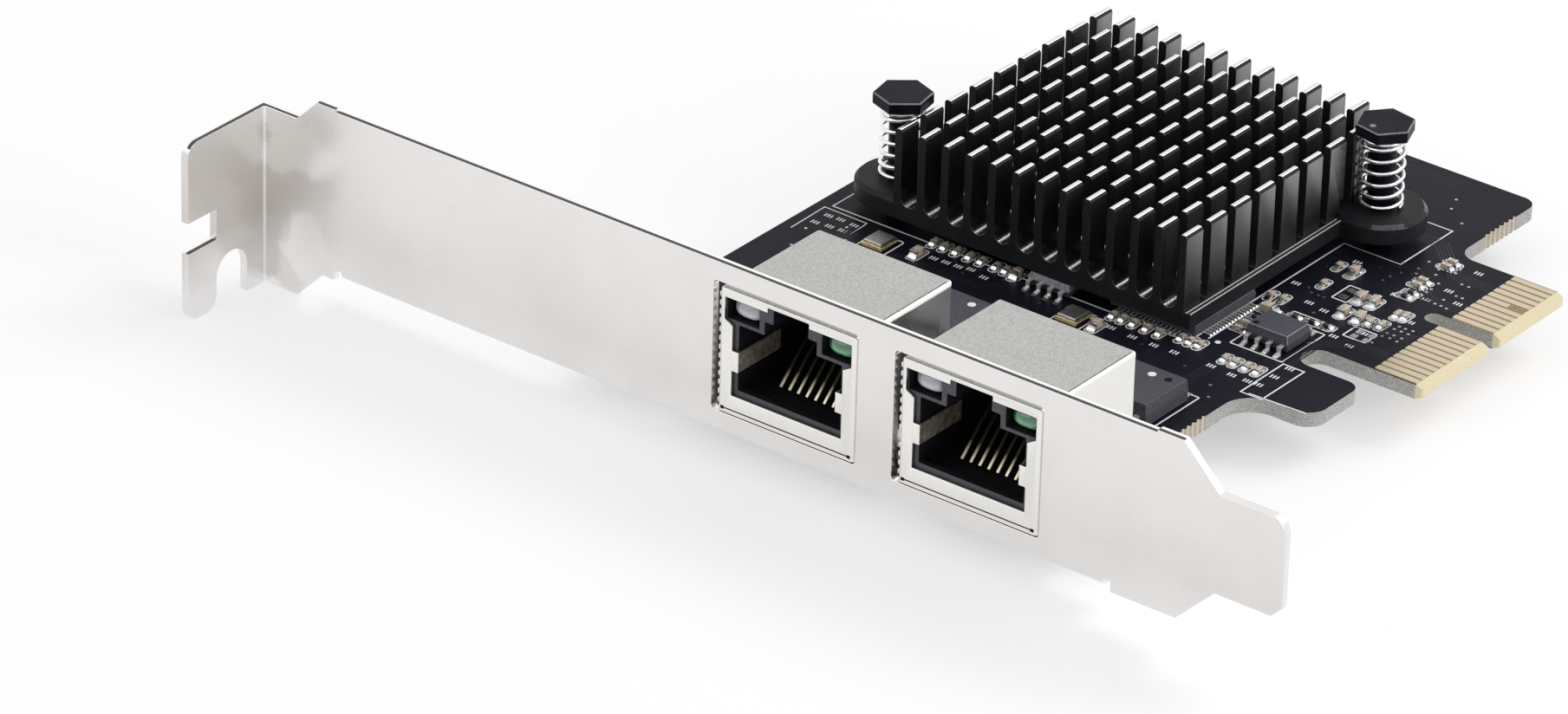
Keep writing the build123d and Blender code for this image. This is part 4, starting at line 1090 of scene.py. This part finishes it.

# The ledge along the right side has a painted highlight along each of its two edges.
ledge_highlight_lines = bmesh.new()
for line_x in (sink_right_x - 0.07, sink_right_x - 0.52):
    add_ribbon(
        ledge_highlight_lines, [(line_x, 38.95), (line_x, 63.9)], 0.14, ledge_z - 0.02, ledge_z + 0.02
    )
ledge_highlight_finish = new_finish(
    "painted highlight on ledge edges", (0.62, 0.62, 0.62), (0.84, 0.84, 0.84), 0.25, (0.3, 0.4), (5000, 200)
)
add_detail(ledge_highlight_lines, "heatsink_ledge_highlights", [ledge_highlight_finish])
pad_rubber = new_finish(
    "thermal pad", (0.30, 0.31, 0.33), (0.42, 0.43, 0.45), 0.0, (0.7, 0.85), (3000, 200)
)
dress("thermal_pads", "soft_thermal_pads", [pad_rubber], 0.00005)

# Push pins and springs
# Black nylon pins snap through the board; a bright coil spring under each head presses the
# heatsink's ear down.
nylon = new_finish(
    "black nylon", (0.003, 0.003, 0.007), (0.007, 0.007, 0.013), 0.0, (0.34, 0.46), (6000, 250),
    (0.2, 0.00001), 0.08,
)
# A paler copy of the nylon for the heads' broken edges: painted highlight.
nylon_edge_highlight = new_finish(
    "painted highlight on nylon edges", (0.10, 0.10, 0.12), (0.24, 0.24, 0.27), 0.0, (0.25, 0.35), (3800, 300),
    shine=0.6,
)
spring_steel = new_finish(
    "spring steel", (0.80, 0.80, 0.81), (0.92, 0.92, 0.93), 1.0, (0.1, 0.18), (3000, 200)
)
pin_head_z = 13.9


def pin_face(centre, normal):
    """Black nylon, with a painted highlight on the head's broken edges."""
    return 0 if is_flat(normal) or abs(normal.z) < 0.25 or centre.z < pin_head_z - 0.1 else 1


for side in ("left", "right"):
    dress(
        "push_pin_" + side, "nylon_pin_" + side, [nylon, nylon_edge_highlight], 0.00012, 2,
        pin_face,
    )

# One pin's head shows the small round mark where the plastic was let into its mould; it takes the
# paler finish of the painted edge highlight.
pin_top_z = 15.1
gate_high = 0.053
gate_mark = bmesh.new()
add_plate(gate_mark, circle_points(83.35, 66.93, 0.32, 24), pin_top_z, pin_top_z + gate_high)
add_detail(gate_mark, "pin_gate_mark", [nylon_edge_highlight])


def coil_mesh(name, low, high, wire_radius):
    """A coil with closed ends, wound inside the box of its solid."""
    centre = (low + high) / 2
    coil_radius = (high.x - low.x) / 2 - wire_radius
    turns = 7.0
    closed = 1.0
    climb = high.z - low.z - 2 * wire_radius
    closed_pitch = 2.05 * wire_radius
    open_pitch = (climb - 2 * closed * closed_pitch) / (turns - 2 * closed)
    rings = int(turns * 40)
    around = 10
    coil = bmesh.new()
    wound = []
    for ring in range(rings + 1):
        turn = turns * ring / rings
        height = closed_pitch * min(turn, closed)
        height += open_pitch * min(max(turn - closed, 0), turns - 2 * closed)
        height += closed_pitch * max(turn - turns + closed, 0)
        angle = 2 * pi * turn
        corners = []
        for step in range(around):
            tilt = 2 * pi * step / around
            reach = coil_radius + wire_radius * cos(tilt)
            x, y = centre.x + reach * cos(angle), centre.y + reach * sin(angle)
            z = low.z + wire_radius + height + wire_radius * sin(tilt)
            corners.append(coil.verts.new((x, y, z)))
        wound.append(corners)
    join_rings(coil, wound)
    return finish_mesh(coil, name, 50)


wire_radius = 0.00021
for side in ("left", "right"):
    node = "pin_spring_" + side
    mesh = coil_mesh(node, *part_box(node), wire_radius)
    spring = add_mesh("coil_spring_" + side, mesh, [spring_steel])
    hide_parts(node)

# Chips
# Moulded packages with tin-plated leads, soldered to their pads.
chip_moulding = new_finish(
    "chip epoxy", (0.052, 0.052, 0.070), (0.074, 0.074, 0.094), 0.0, (0.5, 0.65), (5200, 300),
    (0.3, 0.00001), 0.3,
)
for node, centre, toe in (
    ("bridge_chip", (77.1, 45.3), 0.2),
    ("flash_chip", (88.2, 45.15), 0.4),
    ("power_chip", (66.05, 40.5), 0.4),
):
    dress(
        node, node + "_body", [chip_moulding, moulding_edge_highlight], 0.00006, 2, chip_face
    )
    dress(node + "_leads", node + "_lead_rows", [tinned_lead], 0.00003)
    solder_leads(joints, node + "_leads", centre, 0.12, toe)
dress("controller_chips", "controller_chip_bodies", [chip_moulding], 0.00006)
# The flash chip's first-lead mark is drawn as a dark disc of painted shade.
flash_top_z = board_top_z + 1.7
add_plate(marks, circle_points(86.5, 43.9, 0.32, 20), flash_top_z, flash_top_z + sink_high, 1)
add_detail(marks, "pin_one_marks", [print_ink, painted_recess_shade])

# Quartz crystals
# A ceramic base with a gold rim, closed by a seam-welded metal lid.
crystal_gold = new_finish(
    "crystal gold rim", (0.70, 0.56, 0.30), (0.88, 0.74, 0.46), 1.0, (0.2, 0.3), (2500, 200)
)
crystal_lid = new_finish(
    "crystal lid", (0.34, 0.33, 0.32), (0.46, 0.45, 0.44), 1.0, (0.3, 0.42), (3500, 200),
    (0.2, 0.00001),
)
dress("crystal_bases", "crystal_rims", [crystal_gold], 0.00005)
dress("crystal_lids", "crystal_metal_lids", [crystal_lid], 0.00004)

# Capacitors and resistors
# Each is a small block with tinned ends, held by a hollow fillet of solder at either end.
capacitor_body = new_finish(
    "capacitor ceramic", (0.50, 0.40, 0.29), (0.66, 0.56, 0.45), 0.0, (0.4, 0.55), (3500, 300),
    shine=0.4,
)
resistor_body = new_finish(
    "resistor film", (0.02, 0.02, 0.025), (0.04, 0.04, 0.045), 0.0, (0.4, 0.55), (3500, 300)
)


def dress_parts(node, name, materials, end_share):
    """Small parts of one kind: a body between two tinned ends, on pads with solder."""
    parts = bmesh.new()
    for low, high in node_boxes(node):
        axis = 0 if lies_along_x(low, high) else 1
        end = (high[axis] - low[axis]) * end_share
        shrink = Vector((0.02, 0.02, 0.0))
        shrink[axis] = end * 0.6
        top_shrink = Vector((shrink.x, shrink.y, 0.02))
        add_block(parts, low + shrink, high - top_shrink, 0.03)
        half = (high[1 - axis] - low[1 - axis]) * 1.12 / 2
        toe = 0.3 + 0.12 * (high.z - low.z)
        rise = (high.z - low.z) * 0.72
        for way in (-1, 1):
            end_low = low.copy()
            end_high = high.copy()
            if way > 0:
                end_low[axis] = high[axis] - end
            else:
                end_high[axis] = low[axis] + end
            add_block(parts, end_low, end_high, 0.05, 1)
            outer = (end_low + end_high) / 2
            outer[axis] = high[axis] if way > 0 else low[axis]
            out = step_along(axis, way)
            across = step_along(1 - axis, half)
            add_wedge(joints, outer - out * 0.02, outer + out * toe, across, rise)
            across = step_along(1 - axis, half + 0.03)
            add_pad(joints, outer - out * 0.3, outer + out * (toe + 0.08), across)
    piece = add_mesh(name, finish_mesh(parts, name), materials)
    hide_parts(node)


dress_parts(
    "ceramic_capacitors", "capacitor_blocks", [capacitor_body, tin], 0.22
)
dress_parts("chip_resistors", "resistor_blocks", [resistor_body, tin], 0.2)
add_detail(joints, "solder_joints", [tin, painted_recess_shade])
